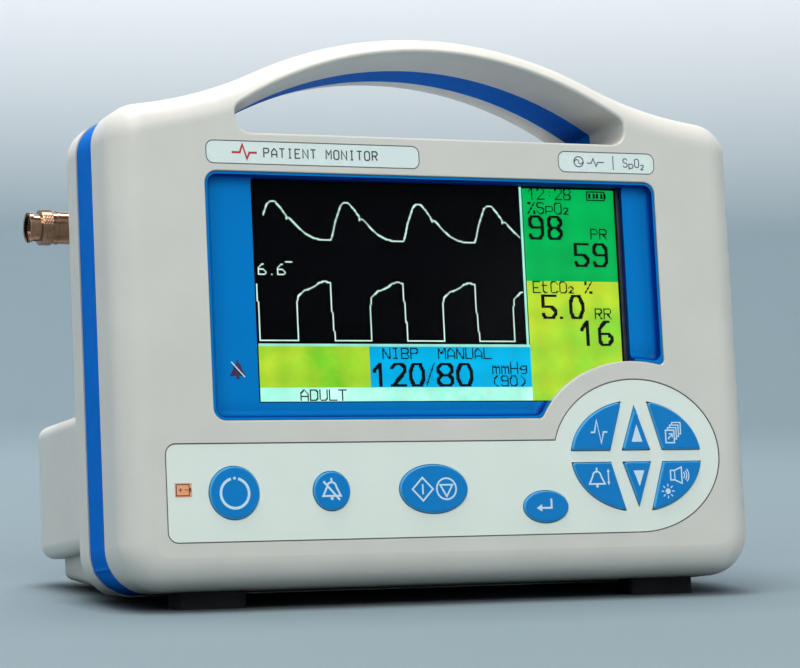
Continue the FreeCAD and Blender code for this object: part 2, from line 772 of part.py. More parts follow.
def make_rear_case():
    """The rear moulding: flange, lower block over a wedge-shaped keel, and upper pod."""
    body = piece("rear_case")
    slab(body, case_outline(0), d.band_back, d.flange_back)
    fillet(body, 4, in_plane("y", d.flange_back))
    pod = d.pod_half_width
    block = d.block_half_width
    keel = d.keel_half_width
    start = d.flange_back - d.wall
    box(body, (-keel, keel), (start, d.block_back - 6), (0, d.block_bottom + 4))
    below_floor(body, d.foot_height)
    fillet(body, 3, lambda edge: keel_edge(edge, keel))
    box(body, (-pod, pod), (start, d.pod_back), (d.block_top - 6, d.pod_top))
    box(body, (-block, block), (start, d.block_back), (d.block_bottom, d.block_top))
    for half, low, high in ((pod, None, d.pod_top), (block, d.block_bottom, d.block_top)):
        fillet(body, d.rear_rounding, lambda edge: rear_corner(edge, half, low, high))
    fillet(body, d.rear_rounding - 1, in_plane("y", d.block_back))
    fillet(body, d.rear_rounding - 1, lambda edge: in_plane("y", d.pod_back)(edge)
           and edge.CenterOfMass.z > d.block_top.value + 1)
    hollow(body, d.band_back, start)
    box(body, (d.wall - pod, pod - d.wall), (start - 1, d.pod_back - d.wall),
        (d.block_top - 6, d.pod_top - d.wall), cut=True)
    box(body, (d.wall - block, block - d.wall), (start - 1, d.block_back - d.wall),
        (d.block_bottom + d.wall, d.block_top - d.wall), cut=True)
    taper = Size("atan(sizes.grip_draft / sizes.front_depth)",
                 math.degrees(math.atan(d.grip_draft.value / d.front_depth.value)))
    slab(body, grip_outline(d.grip_draft), d.band_back, d.flange_back, cut=True, taper=taper)
    slab(body, discs(CASE_SCREWS[:4], 4), d.band_back, d.flange_back - 1)
    slab(body, discs(CASE_SCREWS, d.screw_radius + 0.15), d.band_back, d.flange_back, cut=True)
    slab(body, discs(CASE_SCREWS, d.screw_head_radius + 0.4), d.flange_back - 5, d.flange_back + 1, cut=True)
    screw_posts(body, CHASSIS_SCREWS, d.chassis_front + d.chassis_thickness, start, d.post_radius)
    # Battery bay: a partition, two rails and the door opening.
    box(body, (2, 4), (start, d.block_back - 1), (d.block_bottom + 1, d.block_top - 1))
    for rail in (67, 101):
        box(body, (5, block - d.wall), (rail, rail + 4), (d.block_bottom + 1, d.battery_bottom - 0.3))
    side_wall = (block - d.wall - 1, block + 1)
    box(body, side_wall, (d.door_front, d.door_back), (d.door_bottom, d.door_top), cut=True)
    # Board posts in the block.
    for x in (-100, -14):
        for depth in (66, 96):
            rod(body, "z", (x, depth, d.block_bottom + 1), 5, 2.9)
    # Side walls: air port, pulse socket and gas inlet.
    rod(body, "x", (-pod - 1, d.port_depth, d.port_height), d.wall + 2, 4.6, cut=True)
    rod(body, "x", (pod - d.wall - 1, 76, 128), d.wall + 2, 7.1, cut=True)
    rod(body, "x", (pod - d.wall - 1, 76, 96), d.wall + 2, 3.6, cut=True)
    # Rear walls: power inlet, serial port, label recess, vents and speaker slots.
    vents = [((-72, -22), (82 + 6 * step, 84.4 + 6 * step)) for step in range(6)]
    grille = [((-100, -76), (33 + 4.4 * step, 35 + 4.4 * step)) for step in range(6)]
    slab(body, panes(vents + [SERIAL_PORT]), d.pod_back - d.wall - 1, d.pod_back + 1, cut=True)
    slab(body, panes(grille), d.block_back - d.wall - 1, d.block_back + 1, cut=True)
    slab(body, discs([POWER_INLET], 5.6), d.block_back - d.wall - 1, d.block_back + 1, cut=True)
    slab(body, panes([RATING_LABEL]), d.block_back - 0.4, d.block_back + 1, cut=True)
    for x, depth in INSERTS:
        insert_rod(body, x, depth, 3.05, cut=True)


def keel_edge(edge, keel):
    """The keel's long lower rear edge and its lower side edges."""
    centre = edge.CenterOfMass
    behind = centre.y > d.flange_back.value + 2
    low = centre.z < d.block_bottom.value
    rim = abs(abs(centre.x) - keel.value) < 1e-3 or centre.y > d.block_back.value - 7
    return behind and low and rim and edge.Length > 20


def rear_corner(edge, half, low, high):
    """Edges along y at the corners of a rear housing."""
    centre = edge.CenterOfMass
    at_level = any(level is not None and abs(centre.z - level.value) < 1e-3 for level in (low, high))
    behind = centre.y > d.flange_back.value
    return along("y")(edge) and behind and at_level and abs(abs(centre.x) - half.value) < 1e-3


def insert_rod(body, x, depth, radius, cut=False, length=6, lift=None):
    """A rod square to the floor, standing in the keel's sloping underside."""
    kind = "PartDesign::SubtractiveCylinder" if cut else "PartDesign::AdditiveCylinder"
    rise = d.foot_height if lift is None else lift
    along_floor = (depth - d.flange_back) / lean_cosine
    cylinder = body.newObject(kind, f"{body.Name}_insert")
    cylinder.Placement = FreeCAD.Placement(FreeCAD.Vector(), FreeCAD.Rotation(FreeCAD.Vector(1, 0, 0), 1))
    bind(cylinder, "Placement.Rotation.Angle", d.lean_angle)
    bind(cylinder, "Radius", radius)
    bind(cylinder, "Height", length)
    place(cylinder, x, d.flange_back + along_floor * lean_cosine - rise * lean_sine,
          along_floor * lean_sine + rise * lean_cosine)
    return cylinder


# ---------------------------------------------------------------- display

def make_display_tray():
    """The blue tray: a rim inside the case window, a floor with the screen opening, a hidden flange."""
    body = piece("display_tray")
    rim_front = 0.6
    flange_front = d.wall + 0.1
    fit = as_size(0.15)
    slab(body, tray_outline(-fit), rim_front, flange_front + 0.1)
    slab(body, tray_outline(3), flange_front, d.tray_back)
    slab(body, tray_outline(-1), rim_front, d.tray_floor, cut=True)
    round_window(body, d.tray_corner - 1, 3.2, d.tray_floor)
    fillet(body, 2.9, in_plane("y", d.tray_floor))
    round_window(body, d.tray_corner - fit, 1.9, flange_front)
    opening = ((d.screen_left - 0.6, d.screen_right + 1.6), (d.screen_bottom - 0.4, d.screen_top + 0.3))
    slab(body, panes([opening]), 0, d.tray_back, cut=True)


SCREEN_X = (d.screen_left - 0.4, d.screen_right + 0.4)
SCREEN_Z = (d.screen_bottom - 0.4, d.screen_top + 0.4)
MODULE_X = (d.screen_left - 6, d.screen_right + 5.6)
MODULE_Z = (d.screen_bottom - 4.4, d.screen_top + 4.6)


def make_display():
    """Window, liquid crystal panel, its steel frame and the backlight behind it."""
    window = d.tray_back + 0.8
    panel = window + 2.4
    box(piece("display_window"), MODULE_X, (d.tray_back, window), MODULE_Z)
    box(piece("lcd_panel"), SCREEN_X, (window, panel), SCREEN_Z)
    box(piece("backlight"), SCREEN_X, (panel, d.bracket_front), SCREEN_Z)
    frame = piece("lcd_frame")
    box(frame, MODULE_X, (window, d.bracket_front), MODULE_Z)
    gap = 0.2
    opening = [(SCREEN_X[0] - gap, SCREEN_X[1] + gap), (SCREEN_Z[0] - gap, SCREEN_Z[1] + gap)]
    box(frame, opening[0], (window, d.bracket_front), opening[1], cut=True)


BRACKET_THICKNESS = 1.5


def make_bracket():
    """The sheet steel bracket that holds the display to the front case and carries the main board."""
    body = piece("display_bracket")
    back = d.bracket_front + BRACKET_THICKNESS
    half = d.bracket_half_width
    rounded_plate(body, (-half, half), (d.bracket_front, back), (62, 151), 4)
    slab(body, panes([((-60, -8), (76, 138)), ((8, 60), (76, 138))]), d.bracket_front, back, cut=True)
    slab(body, discs(BRACKET_SCREWS, d.screw_radius + 0.15), d.bracket_front, back, cut=True)


def make_main_board():
    """The main board, its chips and its connectors."""
    front = d.main_board_front
    back = front + d.board_thickness
    body = piece("main_board")
    half = d.main_board_half_width
    rounded_plate(body, (-half, half), (front, back), (d.main_board_bottom, d.main_board_top), 3)
    slab(body, discs(BOARD_SCREWS, d.screw_radius + 0.25), front, back, cut=True)
    parts = piece("main_board_parts")
    chips = [((-70, -42), (92, 120)), ((-30, -8), (96, 118)), ((8, 24), (100, 112)), ((8, 24), (80, 92)),
             ((-66, -46), (60, 74)), ((-30, -18), (64, 84))]
    slab(parts, panes(chips), back, back + 2.2)
    headers = [((40, 84), (134, 140)), ((-84, -40), (134, 140)), ((30, 84), (50, 56))]
    slab(parts, panes(headers), back, back + 7)
    slab(parts, discs([(66, 90), (66, 104), (50, 90)], 4.5), back, back + 8)


def make_keypad():
    """The printed overlay, the charge light with its lens, and the keypad's board."""
    overlay = piece("keypad_overlay")
    sink = as_size(0.15)
    gap = as_size(0.1)
    left, low, high = d.overlay_left + gap, d.overlay_bottom + gap, d.overlay_top - gap
    rounded_plate(overlay, (left, d.island_centre), (sink, d.overlay_thickness), (low, high), 3.9)
    slab(overlay, overlay_island(-gap), sink, d.overlay_thickness)
    for key in KEYS:
        slab(overlay, key.outline(d.key_clearance), 0, d.overlay_thickness, cut=True)
    left, right, bottom, top = CHARGE_LENS
    slab(overlay, panes([((left, right), (bottom, top))]), 0, d.overlay_thickness, cut=True)
    lens = piece("charge_lens")
    box(lens, (left + 0.05, right - 0.05), (0, d.wall + 0.6), (bottom + 0.05, top - 0.05))
    front = d.keypad_board_front
    back = front + d.board_thickness
    board = piece("keypad_board")
    rounded_plate(board, (-107, 107), (front, back), (14, 59), 3)
    slab(board, discs(KEYPAD_SCREWS, d.screw_radius + 0.25), front, back, cut=True)
    light = piece("charge_light")
    box(light, (-102.6, -99.6), (front - 1.6, front), (32.8, 35.8))


def make_labels():
    """Printed strips set flush into the front face, and a blank plate on the back."""
    for name, (left, right, low, high) in LABELS.items():
        rounded_plate(piece(name), (left + 0.1, right - 0.1), (0, LABEL_DEPTH), (low + 0.1, high - 0.1), 2.8)
    (left, right), (low, high) = RATING_LABEL
    plate = piece("rating_plate")
    box(plate, (left + 0.2, right - 0.2), (d.block_back - 0.4, d.block_back), (low + 0.2, high - 0.2))


# ---------------------------------------------------------------- inside the rear case

def make_chassis():
    """The sheet aluminium wall that shields the boards from the pump and the power supply."""
    body = piece("chassis")
    front = d.chassis_front
    back = front + d.chassis_thickness
    half = d.chassis_half_width
    rounded_plate(body, (-half, half), (front, back), (7, 150), 3)
    slots = [((-30, 30), (22, 40)), ((70, 98), (58, 80)), ((-98, -86), (104, 130))]
    slab(body, panes(slots), front, back, cut=True)
    slab(body, discs(CHASSIS_SCREWS, d.screw_radius + 0.15), front, back, cut=True)


PULSE_BOARD = SimpleNamespace(front=32.0, x=(30, 96), z=(100, 146))


def make_frame_fasteners():
    """Brass posts between the boards and the sheet metal, and the short screws that hold them all."""
    posts = piece("board_posts")
    bracket_back = d.bracket_front + BRACKET_THICKNESS
    slab(posts, discs(BOARD_SCREWS, d.post_radius), bracket_back, d.main_board_front)
    slab(posts, discs(BOARD_SCREWS, d.screw_radius + 0.05), bracket_back + 1.5, d.main_board_front, cut=True)
    corners = [(x, z) for x in (36, 90) for z in (106, 140)]
    slab(posts, discs(corners, d.post_radius), PULSE_BOARD.front + d.board_thickness, d.chassis_front)
    body = piece("frame_screws")
    screws(body, BRACKET_SCREWS, bracket_back, d.wall + 4)
    screws(body, BOARD_SCREWS, d.main_board_front + d.board_thickness, d.main_board_front - 3)
    screws(body, KEYPAD_SCREWS, d.keypad_board_front + d.board_thickness, d.wall + 1)
    slab(body, discs(CHASSIS_SCREWS, d.screw_radius), d.chassis_front, d.chassis_front + 8)
    slab(body, discs(CHASSIS_SCREWS, d.screw_head_radius), d.chassis_front - 1.8, d.chassis_front)


def make_panel_nuts():
    """The nuts that clamp the air port and the gas inlet to the pod's side walls."""
    body = piece("panel_nuts")
    pod = d.pod_half_width
    rod(body, "x", (-pod + d.wall, d.port_depth, d.port_height), 3, 7.5)
    rod(body, "x", (-pod + d.wall - 1, d.port_depth, d.port_height), 5, 4.55, cut=True)
    rod(body, "x", (pod - d.wall - 3, 76, 96), 3, 6)
    rod(body, "x", (pod - d.wall - 4, 76, 96), 5, 3.55, cut=True)


PUMP = SimpleNamespace(depth=62.0, height=88.0, radius=14.0, left=-84.0, right=-26.0, outlet=-62.0)
MANIFOLD = SimpleNamespace(x=(-80.0, -32.0), y=(70.0, 90.0), z=(128.0, 146.0))


def make_pneumatics():
    """Inflation pump on its saddle, valve block with two solenoids, and the air tubes."""
    back = d.chassis_front + d.chassis_thickness
    pump = piece("air_pump")
    rod(pump, "x", (PUMP.left, PUMP.depth, PUMP.height), PUMP.right - PUMP.left, PUMP.radius)
    rod(pump, "x", (PUMP.left - 5, PUMP.depth, PUMP.height), 5, 4)
    outlet_depth = 72.0
    rod(pump, "z", (PUMP.outlet, outlet_depth, PUMP.height), 22, 2)
    saddle = piece("pump_saddle")
    box(saddle, (-76, -34), (back, PUMP.depth), (76, 100))
    rod(saddle, "x", (-80, PUMP.depth, PUMP.height), 60, PUMP.radius + 0.1, cut=True)
    valves = piece("valve_block")
    box(valves, MANIFOLD.x, MANIFOLD.y, MANIFOLD.z)
    rod(valves, "z", (PUMP.outlet, outlet_depth + 1, MANIFOLD.z[0] - 8), 9, 2)
    rod(valves, "x", (MANIFOLD.x[0] - 6, d.port_depth, d.port_height), 7, 2)
    solenoids = piece("solenoid_valves")
    slab(solenoids, discs([(-70, 137), (-42, 137)], 6.5), MANIFOLD.y[0] - 22, MANIFOLD.y[0])
    arm = piece("valve_bracket")
    box(arm, (-60, -52), (back, back + 1.5), (112, 146))
    box(arm, (-60, -52), (back, MANIFOLD.y[0]), (MANIFOLD.z[0], MANIFOLD.z[0] + 1.5))
    box(arm, (-60, -52), (MANIFOLD.y[0] - 1.5, MANIFOLD.y[0]), (MANIFOLD.z[0], 146))
    tubes = piece("air_tubes")
    rise = MANIFOLD.z[0] - PUMP.height
    rod(tubes, "z", (PUMP.outlet, outlet_depth + 0.5, PUMP.height + 16), rise - 18, 3.4)
    rod(tubes, "x", (-90.5, d.port_depth, d.port_height), 10, 3.4)
    rod(tubes, "z", (PUMP.outlet, outlet_depth + 0.5, PUMP.height + 14), 30, 2.6, cut=True)
    rod(tubes, "x", (-91, d.port_depth, d.port_height), 12, 2.05, cut=True)


def make_gas_and_pulse():
    """Carbon dioxide bench with its inlet, and the pulse oximetry board with its socket."""
    back = d.chassis_front + d.chassis_thickness
    bench = piece("gas_module")
    box(bench, (12, 82), (back + 4, 84), (80, 140))
    for x in (18, 76):
        for z in (86, 134):
            rod(bench, "y", (x, back, z), 5, 3)
    rod(bench, "x", (80, 76, 96), 6, 2)
    inlet = piece("gas_inlet")
    rod(inlet, "x", (d.pod_half_width, 76, 96), 2, 6)
    rod(inlet, "x", (d.pod_half_width - d.wall - 6, 76, 96), d.wall + 6.5, 3.5)
    rod(inlet, "x", (d.pod_half_width, 76, 96), 10, 2.1)
    rod(inlet, "x", (d.pod_half_width - 12, 76, 96), 30, 1, cut=True)
    tube = piece("gas_tube")
    rod(tube, "x", (82.2, 76, 96), 8.8, 3.2)
    rod(tube, "x", (82, 76, 96), 10, 2.05, cut=True)
    socket = piece("pulse_socket")
    wall_inner = d.pod_half_width - d.wall
    rod(socket, "x", (wall_inner - 9, 76, 128), d.wall + 9.5, 7)
    rod(socket, "x", (d.pod_half_width, 76, 128), 2.5, 9)
    rod(socket, "x", (d.pod_half_width - 7, 76, 128), 12, 5.5, cut=True)
    for turn in range(6):
        angle = math.radians(60 * turn)
        depth, height = 76 + 3.2 * math.cos(angle), 128 + 3.2 * math.sin(angle)
        rod(socket, "x", (d.pod_half_width - 8, depth, height), 5, 0.5)
    front = PULSE_BOARD.front
    rounded_plate(piece("pulse_board"), PULSE_BOARD.x, (front, front + d.board_thickness), PULSE_BOARD.z, 2)


def make_power():
    """Power supply board in the block, its parts, the inlet, the serial port and the loudspeaker."""
    board = piece("power_board")
    top = d.block_bottom + 6
    box(board, (-106, -6), (61, 101), (top, top + d.board_thickness))
    parts = piece("power_board_parts")
    level = top + d.board_thickness
    box(parts, (-98, -66), (66, 92), (level, level + 24))
    box(parts, (-56, -40), (66, 78), (level, level + 12))
    box(parts, (-24, -10), (80, 98), (level, level + 10))
    for x in (-54, -38):
        rod(parts, "z", (x, 90, level), 18, 5)
    x, z = POWER_INLET
    inlet = piece("power_inlet")
    wall_inner = d.block_back - d.wall
    slab(inlet, discs([(x, z)], 5.5), wall_inner - 8, d.block_back)
    slab(inlet, discs([(x, z)], 7.5), d.block_back, d.block_back + 1)
    slab(inlet, discs([(x, z)], 3.1), wall_inner - 6, d.block_back + 1, cut=True)
    slab(inlet, discs([(x, z)], 1.0), wall_inner - 7, d.block_back - 1)
    (left, right), (low, high) = SERIAL_PORT
    port = piece("serial_port")
    slab(port, rounded((left + 0.2, right - 0.2), (low + 0.2, high - 0.2), as_size(2), as_size(2)),
         d.pod_back - d.wall - 5, d.pod_back + 1)
    slab(port, rounded((left + 5.5, right - 5.5), (low + 2.6, high - 2.6), as_size(2), as_size(2)),
         d.pod_back + 1, d.pod_back + 6)
    slab(port, rounded((left + 6.2, right - 6.2), (low + 3.3, high - 3.3), as_size(1.5), as_size(1.5)),
         d.pod_back - 1, d.pod_back + 6, cut=True)
    pins = [(left + 10 + 2.77 * step, 92.0) for step in range(5)]
    pins += [(left + 11.4 + 2.77 * step, 89.2) for step in range(4)]
    slab(port, discs(pins, 0.5), d.pod_back - 1.5, d.pod_back + 5)
    speaker = piece("speaker")
    slab(speaker, discs([(-88, 45)], 17), wall_inner - 4, wall_inner)
    slab(speaker, discs([(-88, 45)], 9), wall_inner - 13, wall_inner - 4)


# ---------------------------------------------------------------- pieces a user handles

def make_air_port():
    """The air hose connector: fixed barrel, bayonet coupling ring, and sprung valve stem."""
    depth, height = d.port_depth, d.port_height
    pod = d.pod_half_width
    port = piece("air_port")
    rod(port, "x", (-d.ring_back + 0.2, depth, height), d.ring_back - 0.2 - pod, d.port_radius)
    rod(port, "x", (-pod - 2, depth, height), 2, 8.5)
    rod(port, "x", (-pod - 0.5, depth, height), 9.5, 4.5)
    rod(port, "x", (-pod + 8.5, depth, height), 5, 2)
    rod(port, "x", (-d.port_tip + 1.8, depth, height), 10, d.nose_radius)
    rod(port, "x", (-d.port_tip, depth, height), 16, d.port_bore, cut=True)
    ring = piece("coupling_ring")
    rod(ring, "x", (-d.ring_back - 4.2, depth, height), 4.2, 6.4)
    rod(ring, "x", (-d.port_tip, depth, height), d.port_tip - d.ring_back, 5.0)
    rod(ring, "x", (-d.port_tip, depth, height), 1.3, 5.65)
    rod(ring, "x", (-d.port_tip - 1, depth, height), 12, d.nose_radius + 0.3, cut=True)
    for side in (-1, 1):
        reach = (depth - 1.1, depth + 1.1)
        span = sorted((side * 4.0, side * 6.0))
        box(ring, (-d.port_tip, -d.port_tip + 3.6), reach, (height + span[0], height + span[1]), cut=True)
    stem = piece("valve_stem")
    rod(stem, "x", (-d.port_tip + 2.6, depth, height), 9, 0.9)
    rod(stem, "x", (-d.port_tip + 11, depth, height), 1.6, d.port_bore - 0.3)


def make_battery():
    """The battery pack, which slides out sideways behind its door, and the contacts it meets."""
    wall_inner = d.block_half_width - d.wall
    pack = piece("battery_pack")
    box(pack, (d.battery_inner, wall_inner - 0.4), (d.battery_front, d.battery_back),
        (d.battery_bottom, d.battery_top))
    fillet(pack, 2, along("x"))
    door = piece("battery_door")
    gap = 0.3
    box(door, (wall_inner - 0.4, d.block_half_width), (d.door_front + gap, d.door_back - gap),
        (d.door_bottom + gap, d.door_top - gap))
    fillet(door, 2, along("x"))
    box(door, (d.block_half_width - 1.6, d.block_half_width), (76, 96), (38, 48), cut=True)
    contacts = piece("battery_contacts")
    for depth in (76, 86, 96):
        box(contacts, (4, d.battery_inner - 0.2), (depth, depth + 4), (38, 48))


def make_feet():
    """Rubber feet: wedges under the front shell and flat pads under the keel."""
    front = piece("front_feet")
    for x in FEET:
        box(front, (x - 13, x + 13), (12, 23), (-8, 0))
        rod(front, "z", (x, 17.5, -1), d.wall + 1, 3)
    below_floor(front, 0)
    fillet(front, 2, lambda edge: along("z")(edge) and edge.CenterOfMass.z < 0)
    rear = piece("rear_feet")
    for x in FEET:
        insert_rod(rear, x, 103, 7, length=d.foot_height, lift=0)
    inserts = piece("mount_inserts")
    for x, depth in INSERTS:
        insert_rod(inserts, x, depth, 3)
    for x, depth in INSERTS:
        insert_rod(inserts, x, depth, 1.65, cut=True)


def make_case_screws():
    """Long screws that clamp the three case mouldings together from behind."""
    screws(piece("case_screws"), CASE_SCREWS, d.flange_back - 5, 17)


for make in (make_front_case, make_mid_band, make_rear_case, make_display_tray, make_display, make_bracket,
             make_main_board, make_keypad, make_keys, make_domes, make_labels, make_chassis,
             make_frame_fasteners, make_pneumatics, make_gas_and_pulse, make_power, make_air_port,
             make_panel_nuts, make_battery, make_feet, make_case_screws):
    make()
doc.recompute()

# ---------------------------------------------------------------- lean back and set down on the feet

lean = FreeCAD.Rotation(FreeCAD.Vector(1, 0, 0), -d.lean_angle.value)
for body in pieces:
    body.Placement = FreeCAD.Placement(FreeCAD.Vector(), lean)
doc.recompute()
whole = Part.makeCompound([body.Shape for body in pieces]).optimalBoundingBox(False)
middle = FreeCAD.Vector((whole.XMin + whole.XMax) / 2, (whole.YMin + whole.YMax) / 2, whole.ZMin)
for body in pieces:
    body.Placement = FreeCAD.Placement(-middle, lean)
doc.recompute()

# ---------------------------------------------------------------- check and write

failed = [item.Name for item in doc.Objects if {"Invalid", "Error"} & set(item.State)]
if failed:
    raise RuntimeError(f"failed features: {failed}")
for body in pieces:
    if body.Shape.isNull() or not body.Shape.isValid():
        raise RuntimeError(f"bad shape: {body.Label}")
os.makedirs("parts", exist_ok=True)
for body in pieces:
    body.Shape.exportStep(f"parts/{body.Label}.step")
print(f"{len(pieces)} pieces, origin {middle}")
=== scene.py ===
import json
import math

import bmesh
import bpy
from mathutils import Matrix, Vector


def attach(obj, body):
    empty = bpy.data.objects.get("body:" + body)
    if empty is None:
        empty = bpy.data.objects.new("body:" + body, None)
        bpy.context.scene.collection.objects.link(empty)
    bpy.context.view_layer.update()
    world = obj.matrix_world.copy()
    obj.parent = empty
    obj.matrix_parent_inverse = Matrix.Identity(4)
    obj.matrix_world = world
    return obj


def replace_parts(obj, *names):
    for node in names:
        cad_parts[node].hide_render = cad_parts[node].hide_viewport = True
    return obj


# The looks of a bench-top patient monitor: moulded case, lit screen made of single dots, printed keys and
# overlay, a knurled air hose coupling. Until a piece is finished, its lengths are in millimetres of the
# upright frame, which is the model before it leans back: x across the front, y back from the plane of the
# front face, z up from the underside.

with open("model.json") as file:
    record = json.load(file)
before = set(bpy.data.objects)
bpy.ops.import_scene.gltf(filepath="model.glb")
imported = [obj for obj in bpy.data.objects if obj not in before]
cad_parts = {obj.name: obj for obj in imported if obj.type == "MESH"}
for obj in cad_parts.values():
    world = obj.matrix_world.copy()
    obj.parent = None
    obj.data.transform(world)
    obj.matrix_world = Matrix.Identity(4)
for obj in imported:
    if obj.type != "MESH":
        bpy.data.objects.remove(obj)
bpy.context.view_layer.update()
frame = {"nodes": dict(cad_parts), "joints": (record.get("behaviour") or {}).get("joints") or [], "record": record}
scene = bpy.context.scene
MM = 0.001

# ---------------------------------------------------------------- from the upright frame to the model's

COUPLING = Vector((-125.7, 80.0, 138.0))     # the pivot of the coupling's ring, on the axis of its barrel
joints = {joint["name"]: joint for joint in frame["joints"]}
push = Vector(joints["key_power_press"]["axis"])
lean = Matrix.Rotation(math.atan2(push.z, push.y), 4, "X")
upright = Matrix.Translation(Vector(joints["coupling_turn"]["pos_m"]) - lean @ (COUPLING * MM)) @ lean


# ---------------------------------------------------------------- the screen's dots

# The panel has 320 columns of dots. Places on the screen are counted in dots from its lower left corner.
COLUMNS = 320
SCREEN_LEFT, SCREEN_RIGHT, SCREEN_BOTTOM = -70.0, 74.4, 65.0
DOT = (SCREEN_RIGHT - SCREEN_LEFT) / COLUMNS


# ---------------------------------------------------------------- materials

def linear(red, green, blue):
    """A display colour, 0 to 255, as the linear colour that a shader takes."""
    def channel(value):
        value /= 255
        return value / 12.92 if value <= 0.04045 else ((value + 0.055) / 1.055) ** 2.4
    return channel(red), channel(green), channel(blue), 1.0


def scaled(colour, factor):
    """A colour made brighter or darker."""
    return tuple(min(1.0, value * factor) for value in colour[:3]) + (1.0,)


class Material:
    """A node material round one principled shader."""

    def __init__(self, name, **sockets):
        self.made = bpy.data.materials.new(name)
        self.made.use_nodes = True
        self.tree = self.made.node_tree
        self.tree.nodes.clear()
        self.shader = self.node("ShaderNodeBsdfPrincipled")
        for socket, value in sockets.items():
            self.shader.inputs[socket.replace("_", " ").title().replace("Ior", "IOR")].default_value = value
        self.join(self.shader, "BSDF", self.node("ShaderNodeOutputMaterial"), "Surface")
        self.place = self.node("ShaderNodeTexCoord")

    def node(self, kind, **settings):
        """A new node with its fields set."""
        node = self.tree.nodes.new(kind)
        for field, value in settings.items():
            setattr(node, field, value)
        return node

    def join(self, source, output, target, entry):
        """Link an output of one node to an input of another."""
        self.tree.links.new(source.outputs[output], target.inputs[entry])

    def noise(self, size, detail=3.0, stretch=(1, 1, 1), roughness=0.5):
        """Noise with features of a size in metres, longer along an axis whose stretch is under 1."""
        mapping = self.node("ShaderNodeMapping")
        mapping.inputs["Scale"].default_value = stretch
        self.join(self.place, "Object", mapping, "Vector")
        noise = self.node("ShaderNodeTexNoise")
        noise.inputs["Scale"].default_value = 1 / size
        noise.inputs["Detail"].default_value = detail
        noise.inputs["Roughness"].default_value = roughness
        self.join(mapping, "Vector", noise, "Vector")
        return noise

    def spread(self, source, output, low, high, entry):
        """Feed a noise, most of which lies from 0.3 to 0.7, into a shader's number socket as low to high."""
        span = self.node("ShaderNodeMapRange")
        for entry_name, value in (("From Min", 0.3), ("From Max", 0.7), ("To Min", low), ("To Max", high)):
            span.inputs[entry_name].default_value = value
        self.join(source, output, span, "Value")
        self.join(span, "Result", self.shader, entry)

    def blend(self, source, output, first, second, low=0.35, high=0.65):
        """A colour that goes from first to second as a texture rises from low to high."""
        ramp = self.node("ShaderNodeValToRGB")
        for stop, position, colour in zip(ramp.color_ramp.elements, (low, high), (first, second)):
            stop.position = position
            stop.color = colour
        self.join(source, output, ramp, "Fac")
        return ramp

    def painted_shade(self, source, output, colour, reach):
        """Painted shade: the source's colour, turning to another in creases and near whatever is within reach, in
        metres.
        """
        near = self.node("ShaderNodeAmbientOcclusion", samples=4)
        near.inputs["Distance"].default_value = reach
        shade_mix = self.node("ShaderNodeMix", data_type="RGBA")
        shade_mix.inputs["A"].default_value = colour
        self.join(near, "AO", shade_mix, "Factor")
        self.join(source, output, shade_mix, "B")
        return shade_mix, "Result"

    def multiply(self, first, second, factor):
        """The first (node, output) darkened by the second, by as much as a factor from 0 to 1."""
        product = self.node("ShaderNodeMix", data_type="RGBA", blend_type="MULTIPLY")
        product.inputs["Factor"].default_value = factor
        self.join(*first, product, "A")
        self.join(*second, product, "B")
        return product, "Result"

    def bump(self, source, output, depth):
        """Relief of a depth in metres from a texture."""
        bump = self.node("ShaderNodeBump")
        bump.inputs["Strength"].default_value = 1.0
        bump.inputs["Distance"].default_value = depth
        self.join(source, output, bump, "Height")
        self.join(bump, "Normal", self.shader, "Normal")


def moulded(name, colour, roughness=(0.36, 0.5), grain=0.0005, depth=0.000012, mottle=0.035, specular=0.5,
            shade_strength=0.0, reach=0.003):
    """Moulded plastic or rubber: fine spark-eroded grain, faint mottling and painted shade in creases and near
    other parts.
    """
    skin = Material(name, specular_ior_level=specular)
    cloud = skin.noise(0.022, detail=4.0)
    source = (skin.blend(cloud, "Fac", scaled(colour, 1 - mottle), scaled(colour, 1 + mottle)), "Color")
    # painted shade: darker in creases and near other parts, by the shade strength
    if shade_strength:
        source = skin.painted_shade(*source, scaled(colour, 1 - shade_strength), reach)
    skin.join(*source, skin.shader, "Base Color")
    skin.spread(skin.noise(0.006), "Fac", *roughness, "Roughness")
    skin.bump(skin.noise(grain, detail=2.0), "Fac", depth)
    return skin.made


def shaded_by_facing(name, flat, edge, facing, specular=0.16, shade_strength=0.0, reach=0.007):
    """Plastic or silicone of one colour where it faces one way, and another where it turns away from it. The
    second colour is painted light and shade: shade on the tray's walls, a highlight on the keys' rounded edges.
    """
    skin = Material(name, specular_ior_level=specular)
    normal = skin.node("ShaderNodeNewGeometry")
    turn = skin.node("ShaderNodeVectorMath", operation="DOT_PRODUCT")
    turn.inputs[1].default_value = facing
    skin.join(normal, "Normal", turn, "Vector")
    # painted light and shade: the colour turns with the surface's facing
    tone = skin.blend(turn, "Value", edge, flat, 0.55, 0.97)
    source = skin.multiply((tone, "Color"), (skin.noise(0.008), "Color"), 0.06)
    # painted shade in creases and near other parts
    if shade_strength:
        source = skin.painted_shade(*source, scaled(edge, 1 - shade_strength), reach)
    skin.join(*source, skin.shader, "Base Color")
    skin.spread(skin.noise(0.004), "Fac", 0.36, 0.48, "Roughness")
    skin.bump(skin.noise(0.0004, detail=2.0), "Fac", 0.000006)
    return skin.made


def metal(name, colour, roughness, size=0.0004, stretch=(1, 1, 1), depth=0.000004):
    """Bare metal with cast grain, or with machining or rolling marks along an axis whose stretch is small."""
    skin = Material(name, metallic=1.0)
    marks = skin.noise(size, detail=5.0, stretch=stretch)
    tone = skin.blend(skin.noise(0.005), "Fac", scaled(colour, 0.82), colour)
    skin.join(tone, "Color", skin.shader, "Base Color")
    skin.spread(marks, "Fac", *roughness, "Roughness")
    skin.bump(marks, "Fac", depth)
    return skin.made


